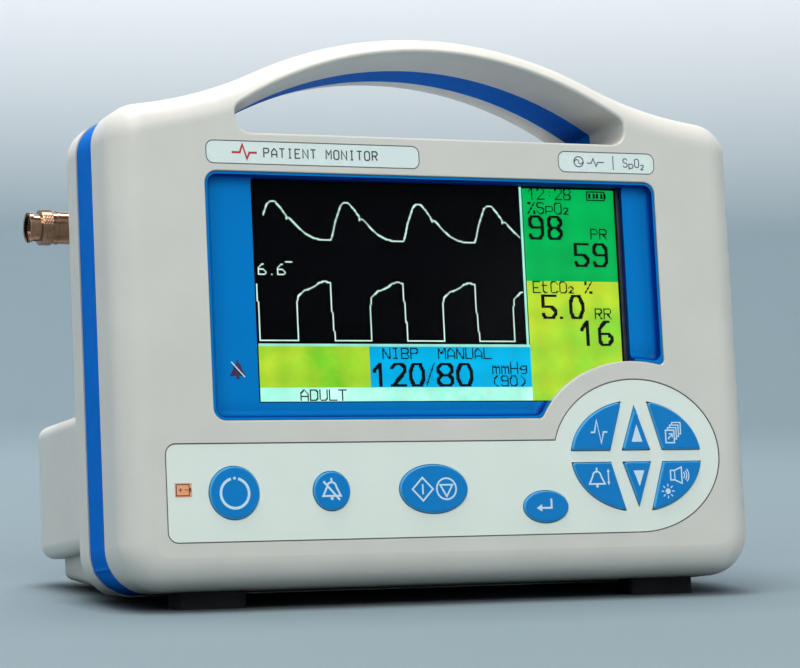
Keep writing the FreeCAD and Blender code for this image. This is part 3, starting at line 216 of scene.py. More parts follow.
def board():
    """Green solder mask over a faint grid of copper tracks."""
    skin = Material("circuit_board", specular_ior_level=0.5)
    tracks = skin.node("ShaderNodeTexBrick")
    tracks.inputs["Scale"].default_value = 220
    tracks.inputs["Mortar Size"].default_value = 0.08
    tracks.inputs["Color1"].default_value = linear(12, 92, 48)
    tracks.inputs["Color2"].default_value = linear(10, 80, 44)
    tracks.inputs["Mortar"].default_value = linear(40, 130, 78)
    skin.join(skin.place, "Object", tracks, "Vector")
    skin.join(tracks, "Color", skin.shader, "Base Color")
    skin.spread(skin.noise(0.002), "Fac", 0.25, 0.42, "Roughness")
    skin.bump(tracks, "Fac", 0.00003)
    return skin.made


def clear(name, tint, roughness, alpha):
    """Coated clear glass, faintly smeared."""
    skin = Material(name, base_color=tint, ior=1.45, alpha=alpha, specular_ior_level=0.35)
    skin.spread(skin.noise(0.012), "Fac", *roughness, "Roughness")
    return skin.made


WAVE_RATE = 20          # radians that Blender's wave texture turns through in one unit
BAND_DOTS = 4           # dots that a soft band takes to turn through one radian


def glowing(name, first, second, strength=1.15):
    """Screen colour that drifts between two tones, under faint soft bands across and up the panel."""
    skin = Material(name, base_color=(0, 0, 0, 1), roughness=0.3, specular_ior_level=0.02)
    drift = skin.noise(0.03, detail=6.0, roughness=0.62)
    source = (skin.blend(drift, "Fac", first, second, 0.38, 0.62), "Color")
    for direction in "XZ":
        grid = skin.node("ShaderNodeTexWave", wave_type="BANDS", bands_direction=direction)
        grid.inputs["Scale"].default_value = 1 / (WAVE_RATE * BAND_DOTS * DOT * MM)
        grid.inputs["Distortion"].default_value = 0.4
        grid.inputs["Detail Scale"].default_value = 0.3
        skin.join(skin.place, "Object", grid, "Vector")
        source = skin.multiply(source, (grid, "Color"), 0.09)
    skin.join(*source, skin.shader, "Emission Color")
    skin.shader.inputs["Emission Strength"].default_value = strength
    return skin.made


# ---------------------------------------------------------------- shapes

MITRE = 0.45            # the smallest cosine that a corner's mitre is worked out with, which keeps it short


class Shape:
    """Closed solids gathered into one mesh."""

    def __init__(self):
        self.points = []
        self.faces = []

    def prism(self, outline, front, back):
        """A solid between two depths, with an outline of (x, z) corners."""
        first = len(self.points)
        count = len(outline)
        for depth in (front, back):
            self.points += [(x, depth, z) for x, z in outline]
        self.faces.append([first + i for i in range(count)])
        self.faces.append([first + count + i for i in reversed(range(count))])
        for i in range(count):
            after = (i + 1) % count
            self.faces.append([first + i, first + count + i, first + count + after, first + after])
        return self

    def ribbon(self, path, width, front, back, closed=False):
        """A flat band of a width along a path of (x, z) points, with mitred corners."""
        count = len(path)
        first = len(self.points)
        for i, (x, z) in enumerate(path):
            before = Vector(path[i - 1] if closed or i else path[0])
            after = Vector(path[(i + 1) % count] if closed or i + 1 < count else path[-1])
            here = Vector((x, z))
            steps = [step.normalized() for step in (here - before, after - here) if step.length > 1e-6]
            along = (steps[0] + steps[-1]).normalized()
            across = Vector((-along.y, along.x))
            reach = width / 2 / max(MITRE, abs(across.dot(Vector((-steps[0].y, steps[0].x)))))
            for side in (1, -1):
                edge = here + side * reach * across
                self.points += [(edge.x, front, edge.y), (edge.x, back, edge.y)]
        sections = [[first + 4 * i + k for k in (0, 2, 3, 1)] for i in range(count)]
        following = sections[1:] + sections[:1] if closed else sections[1:]
        for near, far in zip(sections, following):
            for k in range(4):
                after = (k + 1) % 4
                self.faces.append([near[k], near[after], far[after], far[k]])
        if not closed:
            self.faces.append(sections[0])
            self.faces.append(sections[-1][::-1])
        return self

    def turned(self, profiles):
        """A ring round the coupling's axis: closed profiles of (x, radius) points, one at each angle."""
        first, turns, count = len(self.points), len(profiles), len(profiles[0])
        for turn, profile in enumerate(profiles):
            angle = 2 * math.pi * turn / turns
            self.points += [(x, COUPLING.y + radius * math.cos(angle), COUPLING.z + radius * math.sin(angle))
                            for x, radius in profile]
            here, there = first + count * turn, first + count * ((turn + 1) % turns)
            for k in range(count):
                after = (k + 1) % count
                self.faces.append([here + k, here + after, there + after, there + k])
        return self

    def piece(self, name, body, slot, material, smooth=None):
        """Finish the mesh and let it ride on a body. It is shaded smooth up to an angle in degrees."""
        mesh = bpy.data.meshes.new(name)
        mesh.from_pydata(self.points, [], self.faces)
        tidy = bmesh.new()
        tidy.from_mesh(mesh)
        bmesh.ops.recalc_face_normals(tidy, faces=tidy.faces)
        tidy.to_mesh(mesh)
        tidy.free()
        mesh.transform(upright @ Matrix.Scale(MM, 4))
        mesh.materials.append(material)
        if smooth is not None:
            mesh.shade_smooth()
            mesh.set_sharp_from_angle(angle=math.radians(smooth))
        thing = bpy.data.objects.new(name, mesh)
        scene.collection.objects.link(thing)
        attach(thing, body)
        return thing


def arc(centre, radius, start, end, steps=24, height=None):
    """Points on a circle's, or an ellipse's, arc between two directions in degrees."""
    tall = radius if height is None else height
    angles = [math.radians(start + (end - start) * i / steps) for i in range(steps + 1)]
    return [(centre[0] + radius * math.cos(a), centre[1] + tall * math.sin(a)) for a in angles]


def ring(centre, radius, steps=48):
    """Points round a circle."""
    return arc(centre, radius, 0, 360, steps)[:-1]


# ---------------------------------------------------------------- lettering

# Strokes on a grid four wide and six high. Each point is written as its column and row, and p and g are as
# tall as the capitals.
GLYPHS = {
    "0": ["10 30 42 44 36 16 04 02 10"], "1": ["04 26 20"], "2": ["05 16 36 45 44 33 00 40"],
    "5": ["46 06 03 33 42 41 30 10 01"], "6": ["36 26 04 01 10 30 41 42 33 03"],
    "8": ["13 04 05 16 36 45 44 33 13 02 01 10 30 41 42 33"], "9": ["01 10 30 41 45 36 16 05 04 13 43"],
    "A": ["00 04 26 44 40", "02 42"], "B": ["03 33 44 45 36 06 00 30 41 42 33"],
    "C": ["45 36 16 05 01 10 30 41"], "D": ["00 06 36 45 41 30 00"], "E": ["46 06 00 40", "03 33"],
    "H": ["00 06", "40 46", "03 43"], "I": ["16 36", "26 20", "10 30"], "L": ["06 00 40"],
    "M": ["00 06 23 46 40"], "N": ["00 06 40 46"], "O": ["10 30 41 45 36 16 05 01 10"],
    "P": ["00 06 36 45 44 33 03"], "R": ["00 06 36 45 44 33 03", "23 40"],
    "S": ["45 36 16 05 04 13 33 42 41 30 10 01"], "T": ["06 46", "26 20"],
    "U": ["06 01 10 30 41 46"], "m": ["00 04", "03 14 23 20", "23 34 43 40"],
    "g": ["44 14 03 12 42", "44 41 30 10"], "p": ["00 04 34 43 42 31 01"], "t": ["16 11 20 30", "04 34"],
    "%": ["00 46", "05 06 16 15 05", "30 31 41 40 30"], "/": ["00 46"], ":": ["22 22", "24 24"],
    ".": ["20 20"], "(": ["36 14 12 30"], ")": ["16 34 32 10"], " ": [],
}


def strokes(text, left, base, width, height, pitch):
    """The strokes of a line of lettering, as paths of points, with a pitch from letter to letter."""
    paths = []
    for place, letter in enumerate(text):
        for stroke in GLYPHS[letter]:
            corners = [(int(mark[0]), int(mark[1])) for mark in stroke.split()]
            paths.append([(left + place * pitch + column * width / 4, base + row * height / 6)
                          for column, row in corners])
    return paths


# ---------------------------------------------------------------- screen

DIVIDE = 234                                # column between the traces and the readings at their right
SHELF = 44                                  # row between the traces and the pressure readings
FOOT = 0.6                                  # row where the lowest fields start
STRIP = 11.5                                # row where the strip along the bottom ends
GAS_TOP = 98                                # row where the gas reading's field ends
TOP = 174                                   # row where the highest field ends
GLASS_FRONT, GLASS_BACK = 6.0, 6.3          # the window, then the marks, then the fields behind them
MARK_FRONT, MARK_BACK = 6.5, 6.58
FIELD_FRONT, FIELD_BACK = 6.6, 6.72


def spot(column, row):
    """The place of a dot's lower left corner."""
    return SCREEN_LEFT + column * DOT, SCREEN_BOTTOM + row * DOT


def field(name, columns, rows, first, second, strength):
    """A coloured field of the screen."""
    corners = [spot(columns[0], rows[0]), spot(columns[1], rows[0]),
               spot(columns[1], rows[1]), spot(columns[0], rows[1])]
    paint = glowing(name, first, second, strength)
    Shape().prism(corners, FIELD_FRONT, FIELD_BACK).piece(name, "case", "lcd_glass", paint)


def lit_dots(paths, wide=1, high=1):
    """The dots that a pen, some dots wide and high, lights on a set of paths."""
    found = set()
    for path in paths:
        for (c0, r0), (c1, r1) in zip(path, path[1:]):
            steps = max(1, math.ceil(2 * max(abs(c1 - c0), abs(r1 - r0))))
            for i in range(steps + 1):
                column = math.floor(c0 + (c1 - c0) * i / steps)
                row = math.floor(r0 + (r1 - r0) * i / steps)
                found |= {(column + a, row + b) for a in range(wide) for b in range(high)}
    return found


def dots(name, found, material):
    """Lit dots as thin tiles, joined along each row and then up each column where they line up."""
    runs = {}
    for column, row in sorted(found):
        if (column - 1, row) in found:
            continue
        end = column
        while (end + 1, row) in found:
            end += 1
        runs[row, column, end + 1] = row + 1
    shape = Shape()
    for row, left, right in sorted(runs):
        if (row - 1, left, right) in runs:
            continue
        high = row + 1
        while (high, left, right) in runs:
            high += 1
        corners = [spot(left, row), spot(right, row), spot(right, high), spot(left, high)]
        shape.prism(corners, MARK_FRONT, MARK_BACK)
    shape.piece(name, "case", "lcd_glass", material)


def pulse_trace():
    """Four beats of the pulse wave: a steep rise, a rounded crest, a notch and a slow fall."""
    pitch, base = 62.4, 128.5
    beat = [(0, 0), (2, 5), (4, 13), (7, 21), (10, 28), (12, 29.8), (15, 30.2), (17, 29.4), (20, 26),
            (23, 21.5), (25, 19), (25.5, 16), (26.5, 17), (28, 17), (34, 10.5), (41, 4.5), (47, 1.5), (53, 0),
            (62, 0)]
    path = [(4 + pitch * turn + column, base + row) for turn in range(4) for column, row in beat]
    return {(column, row) for column, row in lit_dots([path]) if 10 <= column <= 231}


def gas_trace():
    """Square breaths with a sloping top, after the end of an earlier one."""
    pitch, base = 62.5, 48
    breath = [(0, 0), (31, 0), (31.5, 29), (32.5, 35), (35, 37.5), (38, 40), (43, 41.5), (47, 43.5),
              (51, 46.5), (54, 47.2), (60, 46.8), (60.6, 29), (62.5, 0)]
    path = [(2.7, 92), (3.2, 70), (4, base)]
    path += [(4 + pitch * turn + column, base + row) for turn in range(4) for column, row in breath]
    return {(column, row) for column, row in lit_dots([path]) if column <= 231}


def make_fields():
    """The screen's coloured fields, brighter than a printed colour because they are lit."""
    right, left, middle = (DIVIDE + 2, 319), (2, 95), (95, DIVIDE + 2)
    fields = (
        ("reading_field_green", right, (GAS_TOP, TOP), linear(0, 178, 82), linear(0, 190, 92), 1.12),
        ("reading_field_lime", right, (FOOT, GAS_TOP), linear(196, 220, 50), linear(134, 212, 58), 1.22),
        ("pressure_field_lime", left, (STRIP, SHELF), linear(180, 216, 54), linear(118, 204, 44), 1.22),
        ("pressure_field_cyan", middle, (STRIP, SHELF), linear(0, 172, 226), linear(0, 184, 234), 1.22),
        ("mode_strip", (2, DIVIDE + 2), (FOOT, STRIP), linear(136, 222, 198), linear(184, 238, 224), 1.45),
    )
    for one in fields:
        field(*one)


def screen_lettering():
    """The dots of the generic labels and readings, and of the battery sign."""
    small = [("12:28", 241, 165, 6, 9, 8), ("%SpO", 240.5, 153.5, 6, 9, 8), ("2", 272.5, 153.5, 4, 5, 8),
             ("PR", 296, 133, 6, 8, 8.5), ("EtCO", 241, 88, 6, 9, 8), ("2", 273, 88, 4, 5, 8),
             ("%", 288, 88, 6, 9, 8), ("RR", 296, 67.2, 6, 8.5, 8.5), ("NIBP", 106, 34, 6, 8.5, 8),
             ("MANUAL", 154, 34, 6, 8.5, 8), ("mmHg", 201.5, 22.5, 6, 8.5, 8), ("(90)", 200.5, 12, 6, 8.5, 8),
             ("ADULT", 35, 1.5, 6, 8, 8), ("/", 143, 13, 7, 17, 8)]
    large = [("98", 240, 132, 11, 18.5, 17), ("59", 280, 110, 11, 18.5, 17), ("5", 248, 67, 11, 18.5, 17),
             (".", 258.5, 67, 11, 18.5, 17), ("0", 273, 67, 11, 18.5, 17), ("16", 282, 45.5, 11, 18.5, 16),
             ("120", 97, 12, 11, 17.6, 15.8), ("80", 152.5, 12, 12, 17.6, 17)]
    battery = [[(294, 165), (310, 165), (310, 172.5), (294, 172.5), (294, 165)], [(311, 167), (311, 170)]]
    bars = (296.5, 297.5, 300, 301, 303.5, 304.5, 307, 308)
    battery += [[(column, 167), (column, 170.5)] for column in bars]
    found = lit_dots(battery)
    for line in small:
        found |= lit_dots(strokes(*line))
    for line in large:
        found |= lit_dots(strokes(*line), 3, 2)
    return found


def make_screen():
    """Everything that the screen shows, and the coated pane in front of it."""
    make_fields()
    mint = glowing("screen_mint", linear(150, 236, 216), linear(176, 244, 230))
    pale = glowing("screen_pale", linear(206, 250, 232), linear(226, 255, 244))
    ink = moulded("screen_ink", (0.002, 0.003, 0.003, 1), roughness=(0.3, 0.4), depth=0.0, specular=0.05)
    rules = lit_dots([[(DIVIDE - 1, SHELF), (DIVIDE - 1, TOP - 1)], [(2, SHELF), (DIVIDE, SHELF)]], 2, 2)
    dots("screen_rules", rules, mint)
    dots("pulse_trace", pulse_trace(), pale)
    dots("gas_trace", gas_trace(), pale)
    scale_mark = strokes("6.6", 4, 100, 6, 8, 8) + [[(27, 110), (32, 110)]]
    dots("scale_mark", lit_dots(scale_mark), pale)
    dots("screen_lettering", screen_lettering(), ink)
    left, right, low, high = -76.0, 80.0, 60.6, 148.5
    glass = clear("window_glass", (0.01, 0.012, 0.014, 1), (0.05, 0.12), 0.035)
    pane = Shape().prism([(left, low), (right, low), (right, high), (left, high)], GLASS_FRONT, GLASS_BACK)
    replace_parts(pane.piece("window_pane", "case", "window_clear", glass), "display_window")


# ---------------------------------------------------------------- printed symbols

KEY_FACE = -0.9         # depth of the keys' faces
PRINT = 0.04            # half of a print's thickness
PLATE_FACE = 119.0      # depth of the rating plate's face, which looks back
LAYER = 0.002           # how far each stroke stands before the one under it


class Symbol:
    """A printed symbol on a face at a depth."""

    def __init__(self, face=KEY_FACE):
        self.shape = Shape()
        self.face = face
        self.layer = 0

    def depths(self):
        """The next stroke's front and back."""
        self.layer += 1
        return self.face - PRINT - LAYER * self.layer, self.face + PRINT

    def line(self, width, path, closed=False):
        """Add a printed line."""
        self.shape.ribbon(path, width, *self.depths(), closed=closed)
        return self

    def fill(self, outline):
        """Add a printed area."""
        self.shape.prism(outline, *self.depths())
        return self

    def piece(self, name, material, body="case", slot="chip_black"):
        """Finish the symbol as one piece."""
        self.shape.piece(name, body, slot, material)


def bell(symbol, x, z, size, width):
    """A bell's outline with its stem, standing on a base line centred at x, z."""
    half = size / 2
    crown, shoulder = half * 0.55, z + size * 0.45
    dome = [(x - half, z), (x - crown, shoulder)] + arc((x, shoulder), crown, 150, 30, 6)
    symbol.line(width, dome + [(x + crown, shoulder), (x + half, z)], closed=True)
    symbol.line(width, [(x, z + size * 0.68), (x, z + size * 0.95)])
    symbol.fill(ring((x, z - size * 0.13), size * 0.09, 16))


def key_symbols():
    """The symbol of each key."""
    power = Symbol().line(0.95, arc((-82.8, 32.8), 5.15, 105, 435, 60)).fill(ring((-82.8, 38.0), 0.5, 20))
    mute = Symbol()
    bell(mute, -46.9, 31.3, 6.6, 0.7)
    mute.line(0.75, [(-49.9, 36.4), (-44.0, 29.9)])
    start = Symbol().line(0.6, [(-16.2, 33.1), (-12.25, 37.2), (-8.3, 33.1), (-12.25, 29.0)], closed=True)
    start.line(0.6, [(-12.25, 34.9), (-12.25, 31.3)]).line(0.6, ring((-3.1, 33.1), 3.75), closed=True)
    start.line(0.6, [(-5.5, 34.5), (-0.7, 34.5), (-3.1, 30.4)], closed=True)
    enter = Symbol().line(0.7, [(33.6, 25.6), (38.0, 25.6), (38.0, 28.9)])
    enter.fill([(32.0, 25.6), (34.2, 24.3), (34.2, 26.9)])
    wave = Symbol().line(0.6, [(55.4, 52.7), (56.9, 52.7), (57.9, 57.0), (59.5, 48.8), (60.6, 52.8),
                               (62.1, 52.8)])
    up = Symbol().fill([(71.9, 49.1), (76.3, 49.1), (74.2, 55.5)])
    down = Symbol().fill([(72.0, 38.6), (76.4, 38.6), (74.2, 32.8)])
    pages = Symbol().line(0.5, [(86.1, 48.6), (89.6, 48.6), (89.6, 53.2), (86.1, 53.2)], closed=True)
    pages.line(0.45, [(87.0, 50.0), (88.7, 51.7)]).line(0.45, [(87.4, 51.9), (88.8, 51.9), (88.8, 50.5)])
    for step in (1, 2, 3):
        x, z = 86.1 + 0.92 * step, 53.2 + 0.95 * step
        pages.line(0.42, [(x, z - 0.7), (x, z), (x + 3.5, z), (x + 3.5, z - 4.2), (x + 2.9, z - 4.2)])
    limits = Symbol()
    bell(limits, 56.9, 33.9, 6.2, 0.6)
    limits.line(0.5, [(61.6, 34.2), (61.6, 38.6)])
    limits.fill([(61.0, 38.2), (62.2, 38.2), (61.6, 39.4)]).fill([(61.0, 34.6), (61.6, 33.4), (62.2, 34.6)])
    sound = Symbol().line(0.5, [(87.2, 34.9), (88.9, 34.9), (91.8, 33.6), (91.8, 39.6), (88.9, 38.4),
                                (87.2, 38.4)], closed=True)
    sound.line(0.4, [(88.9, 35.1), (88.9, 38.2)])
    for radius in (1.6, 2.5, 3.4):
        sound.line(0.4, arc((91.4, 36.6), radius, -42, 42, 8))
    sun = (85.8, 30.8)
    sound.fill(ring(sun, 1.05, 20))
    for turn in range(8):
        angle = math.radians(45 * turn)
        ray = [(sun[0] + r * math.cos(angle), sun[1] + r * math.sin(angle)) for r in (1.65, 2.7)]
        sound.line(0.4, ray)
    return {"key_power": power, "key_mute": mute, "key_start_stop": start, "key_enter": enter,
            "key_waveform": wave, "key_up": up, "key_down": down, "key_pages": pages,
            "key_alarm_limits": limits, "key_sound_light": sound}


def print_strips(dark):
    """Generic words and signs on the two strips above the screen."""
    words = Symbol(face=0.0)
    for path in strokes("PATIENT MONITOR", -66.6, 150.9, 1.9, 3.2, 2.95):
        words.line(0.44, path)
    words.piece("name_strip_lettering", dark)
    red = moulded("label_accent", linear(186, 38, 52), roughness=(0.3, 0.45), depth=0.000002, mottle=0.02)
    trace = Symbol(face=0.0)
    trace.line(0.75, [(-78.6, 152.4), (-75.6, 152.4), (-74.6, 155.2), (-73.0, 150.2), (-72.0, 152.4),
                      (-69.2, 152.4)])
    trace.piece("name_strip_trace", red)
    module = Symbol(face=0.0)
    module.line(0.35, [(71.2, 150.1), (71.2, 155.4)])
    for text, x, z, wide, high in (("S", 75.4, 151.3, 1.7, 3.1), ("p", 77.8, 150.4, 1.7, 3.1),
                                   ("O", 80.2, 151.3, 1.7, 3.1), ("2", 82.7, 150.5, 1.1, 1.7)):
        for path in strokes(text, x, z, wide, high, wide):
            module.line(0.36, path)
    module.line(0.36, ring((57.0, 152.8), 1.9, 32), closed=True)
    module.line(0.36, [(60.4, 152.4), (62.2, 152.4), (63.0, 154.2), (64.1, 151.2), (64.9, 152.8),
                       (67.4, 152.8)])
    module.line(0.3, arc((56.2, 152.8), 0.8, 0, 180, 8)).line(0.3, arc((57.8, 152.8), 0.8, 180, 360, 8))
    module.piece("module_label_lettering", dark)


def print_alarm_mark(white):
    """A bell with a line through it, on the tray's left wall."""
    plum = moulded("tray_print", linear(58, 28, 78), roughness=(0.3, 0.45), depth=0.000002, mottle=0.03)
    alarm = Symbol(face=4.0)
    alarm.fill([(-81.2, 74.0), (-75.2, 74.0), (-76.7, 76.6)] + arc((-78.2, 77.0), 1.5, 10, 170, 8)
               + [(-79.7, 76.6)])
    alarm.line(0.6, [(-78.2, 78.0), (-78.2, 79.6)]).fill(ring((-78.2, 73.4), 0.65, 16))
    alarm.piece("alarm_silence_mark", plum)
    slash = Symbol(face=3.94)
    slash.line(0.45, [(-80.5, 79.0), (-75.6, 73.6)])
    slash.piece("alarm_silence_slash", white, slot="label_pale")


def print_borders(dark):
    """A fine line just inside the edge of each strip."""
    corner = 2.6
    for name, left, right, low, high in (("name_strip", -88.05, -7.15, 148.45, 156.45),
                                         ("module_label", 48.75, 88.15, 148.95, 156.45)):
        edge = []
        for x, z, start in ((right - corner, high - corner, 90), (left + corner, high - corner, 180),
                            (left + corner, low + corner, 270), (right - corner, low + corner, 360)):
            edge += arc((x, z), corner, start - 90, start, 8)
        Symbol(face=0.0).line(0.22, edge, closed=True).piece(f"{name}_border", dark)


def print_charge_sign(dark):
    """A battery with its two poles, on the amber lens."""
    left, right, low, high = -104.1, -98.1, 31.95, 36.65
    charge = Symbol(face=0.0)
    charge.line(0.3, [(left + 0.4, low + 0.4), (right - 1.0, low + 0.4), (right - 1.0, high - 0.5),
                      (left + 0.4, high - 0.5)], closed=True)
    charge.line(0.5, [(right - 0.55, low + 1.6), (right - 0.55, high - 1.7)])
    middle, arm = (low + high) / 2, 0.7
    charge.line(0.26, [(left + 1.2, middle), (left + 2.6, middle)])
    charge.line(0.26, [(left + 1.9, middle - arm), (left + 1.9, middle + arm)])
    charge.line(0.26, [(left + 3.4, middle), (left + 4.6, middle)])
    charge.piece("charge_lens_symbol", dark)


def print_rating_plate(dark):
    """Two ruled boxes on the plate at the back, with nothing written in them."""
    left, right, low, high = 14.0, 96.0, 30.0, 56.0
    half_way = (low + high) / 2
    plate = Symbol(face=PLATE_FACE + 2 * PRINT)
    plate.line(0.4, [(left, low), (right, low), (right, high), (left, high)], closed=True)
    plate.line(0.3, [(left, half_way), (right, half_way)])
    plate.piece("rating_plate_border", dark)


def make_printing():
    """Everything printed on the keys, the labels and the plate."""
    white = moulded("label_pale", linear(206, 232, 246), roughness=(0.3, 0.4), depth=0.000002, mottle=0.01)
    for key, symbol in key_symbols().items():
        symbol.piece(f"{key}_symbol", white, body=key, slot="label_pale")
    dark = moulded("label_print", linear(58, 60, 64), roughness=(0.3, 0.45), depth=0.000002, mottle=0.02)
    print_strips(dark)
    print_alarm_mark(white)
    print_borders(dark)
    print_charge_sign(dark)
    print_rating_plate(dark)


# ---------------------------------------------------------------- overlay, keys, battery and coupling

def overlay_rim():
    """The overlay's outline, a little inside its edge: a strip whose right end swells into an ellipse."""
    left, low, high, corner = -107.1, 16.2, 50.1, 3.6
    centre, half, tall = (74.5, 44.2), 33.9, 28.0
    join = centre[0] - half * math.sqrt(1 - ((high - centre[1]) / tall) ** 2)
    start = math.degrees(math.atan2((high - centre[1]) / tall, (join - centre[0]) / half))
    path = arc((left + corner, high - corner), corner, 180, 90, 6)
    path += arc(centre, half, start, -90, 72, tall)
    path += arc((left + corner, low + corner), corner, 270, 180, 6)
    return path


def make_overlay_gap_shadow():
    """A painted shadow: the dark line round the overlay, where the gap at its edge lies in shade."""
    shade = moulded("joint_shadow", linear(52, 50, 46), roughness=(0.5, 0.6), depth=0.000002, mottle=0.02)
    width, front, back = 0.3, 0.1, 0.18
    line = Shape().ribbon(overlay_rim(), width, front, back, closed=True)
    line.piece("overlay_gap_shadow", "case", "chip_black", shade)


def make_arrow_tips(silicone):
    """The slender tips of the two arrow keys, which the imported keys' round corners stop short of."""
    middle, level = 74.1, 44.0          # x of both points, and the height half way between the two keys
    foot, point, half = 2.3, 18.0, 5.55     # from that height to a key's foot and point, and half of its foot
    start, stop = 3.6, 0.4              # how far before the point the tip starts, and where it is cut off
    front, back = -0.55, 1.6
    for key, up in (("key_up", 1), ("key_down", -1)):
        (wide, low), (slim, high) = [(half * short / (point - foot), level + up * (point - short))
                                     for short in (start, stop)]
        corners = [(middle - wide, low), (middle + wide, low), (middle + slim, high), (middle - slim, high)]
        Shape().prism(corners, front, back).piece(f"{key}_tip", key, "key_blue", silicone)


def make_battery_grip(plastic):
    """Ribs in the door's finger recess, which a thumb pushes to slide the battery out."""
    left, right, low, high = 116.3, 117.3, 39.6, 46.4
    count, first, pitch, thick = 5, 78.2, 3.6, 1.4
    ribs = Shape()
    for step in range(count):
        front = first + pitch * step
        ribs.prism([(left, low), (right, low), (right, high), (left, high)], front, front + thick)
    ribs.piece("battery_door_ribs", "battery", "case_grey", plastic)


def knurl():
    """The coupling ring's diamond knurl: a sleeve whose surface rises at the middle of each diamond."""
    around, along = 96, 17
    start, end, inner, outer, rise = -125.5, -121.5, 6.36, 6.46, 0.16
    profiles = []
    for turn in range(around):
        profile = [(start, inner)]
        for step in range(along):
            x = start + (end - start) * step / (along - 1)
            raised = (turn % 4 in (1, 3)) if step % 4 in (1, 3) else (turn % 4 == 2 * (step % 4 == 2))
            profile.append((x, outer + rise * (raised and 0 < step < along - 1)))
        profiles.append(profile + [(end, inner)])
    return Shape().turned(profiles)


def make_coupling(nickel):
    """The knurl of the coupling's ring, and two collars on its barrel."""
    knurl().piece("coupling_knurl", "coupling", "port_nickel", nickel, smooth=20)
    inner, outer, width, turns = 6.0, 6.25, 0.9, 64
    barrel = Shape()
    for x in (-119.6, -104.0):
        barrel.turned([[(x, inner), (x, outer), (x + width, outer), (x + width, inner)]] * turns)
    barrel.piece("barrel_collars", "case", "port_nickel", nickel, smooth=30)


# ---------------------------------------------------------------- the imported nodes' own finishes

def finishes():
    """One finish for each of the record's material slots."""
    return {
        # the case and the band: painted shade in creases and near other parts
        "case_grey": moulded("case_plastic", linear(215, 213, 205), roughness=(0.32, 0.44), mottle=0.02,
                             specular=0.45, shade_strength=0.6, reach=0.012),
        "band_blue": moulded("band_plastic", linear(0, 112, 212), roughness=(0.44, 0.56), mottle=0.04,
                             specular=0.01, shade_strength=0.7, reach=0.01),
        # painted shade: the tray's walls darker than its floor, and darker still in creases
        "tray_blue": shaded_by_facing("tray_plastic", linear(0, 128, 208), linear(0, 52, 146), -push, specular=0.05,
                             shade_strength=0.6),
        # painted highlight: the keys' rounded edges paler than their faces
        "key_blue": shaded_by_facing("key_silicone", linear(0, 130, 206), linear(86, 178, 234), -push),
        "overlay_pale": moulded("overlay_film", linear(232, 241, 231), roughness=(0.3, 0.42), grain=0.0009,
                                depth=0.000005, mottle=0.012),
        "label_pale": moulded("label_film", linear(226, 240, 236), roughness=(0.2, 0.3), grain=0.0012,
                              depth=0.000003, mottle=0.01),
        "lens_amber": moulded("lens_plastic", linear(255, 163, 116), roughness=(0.15, 0.3), mottle=0.12),
        "lcd_glass": moulded("panel_glass", (0.002, 0.002, 0.003, 1), roughness=(0.2, 0.3), depth=0.0,
                             specular=0.006),
        "window_clear": clear("spare_glass", (1, 1, 1, 1), (0.03, 0.08), 0.1),
        "steel_sheet": metal("steel_sheet", linear(168, 170, 172), (0.3, 0.42), stretch=(0.05, 1, 1)),
        "screw_steel": metal("screw_steel", linear(176, 178, 180), (0.22, 0.36)),
        "aluminium_sheet": metal("aluminium_sheet", linear(196, 198, 200), (0.32, 0.46),
                                 stretch=(0.05, 1, 1)),
        "pump_metal": metal("cast_metal", linear(160, 162, 164), (0.4, 0.55), size=0.0015, depth=0.00003),
        "brass": metal("turned_brass", linear(196, 160, 92), (0.2, 0.32), stretch=(1, 0.1, 0.1)),
        "contact_gold": metal("contact_gold", linear(222, 182, 96), (0.18, 0.28)),
        "port_nickel": metal("port_nickel", linear(168, 134, 112), (0.09, 0.2), stretch=(1, 0.08, 0.08)),
        "board_green": board(),
        "chip_black": moulded("chip_plastic", linear(34, 35, 38), roughness=(0.45, 0.6)),
        "module_case": moulded("module_plastic", linear(70, 73, 76), roughness=(0.45, 0.6)),
        "battery_case": moulded("battery_plastic", linear(44, 45, 48), roughness=(0.4, 0.55)),
        "light_guide": moulded("light_guide", linear(226, 230, 228), roughness=(0.1, 0.2), depth=0.000002),
        "rubber_black": moulded("foot_rubber", linear(20, 20, 22), roughness=(0.65, 0.8), grain=0.0009,
                                depth=0.00003, specular=0.15),
        "rubber_grey": moulded("mount_rubber", linear(96, 96, 96), roughness=(0.6, 0.75), specular=0.3),
        "tube_clear": moulded("silicone_tube", linear(208, 210, 204), roughness=(0.3, 0.42), depth=0.000004),
    }


def dress_nodes(paints):
    """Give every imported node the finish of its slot."""
    for entry in frame["record"]["subparts"]:
        mesh = frame["nodes"][entry["node"]].data
        mesh.materials.clear()
        mesh.materials.append(paints[entry["material_slot"]])


# ---------------------------------------------------------------- stage, lights and camera

def stage_paint():
    """Pale paper, paler with height, with painted shade that darkens it near the middle and a painted contact
    shadow where the object nearly meets it.
    """
    paint = Material("stage_paper", roughness=0.85, specular_ior_level=0.2)
    height = paint.node("ShaderNodeSeparateXYZ")
    paint.join(paint.place, "Object", height, "Vector")
    tone = paint.blend(height, "Z", linear(146, 164, 172), linear(248, 250, 252), low=0.2, high=0.5)
    distance = paint.node("ShaderNodeVectorMath", operation="LENGTH")
    paint.join(paint.place, "Object", distance, "Vector")
    # painted shade: the floor darker near the middle, round the object
    middle = paint.blend(distance, "Value", (0.76, 0.76, 0.76, 1), (1, 1, 1, 1), low=0.25, high=1.0)
    shaded = paint.multiply((tone, "Color"), (middle, "Color"), 1.0)
    # painted contact shadow: near black where the object is within reach
    contact_shadow = paint.painted_shade(*shaded, colour=(0.004, 0.004, 0.005, 1), reach=0.016)
    paint.join(*contact_shadow, paint.shader, "Base Color")
    paint.bump(paint.noise(0.004), "Fac", 0.00002)
    return paint.made


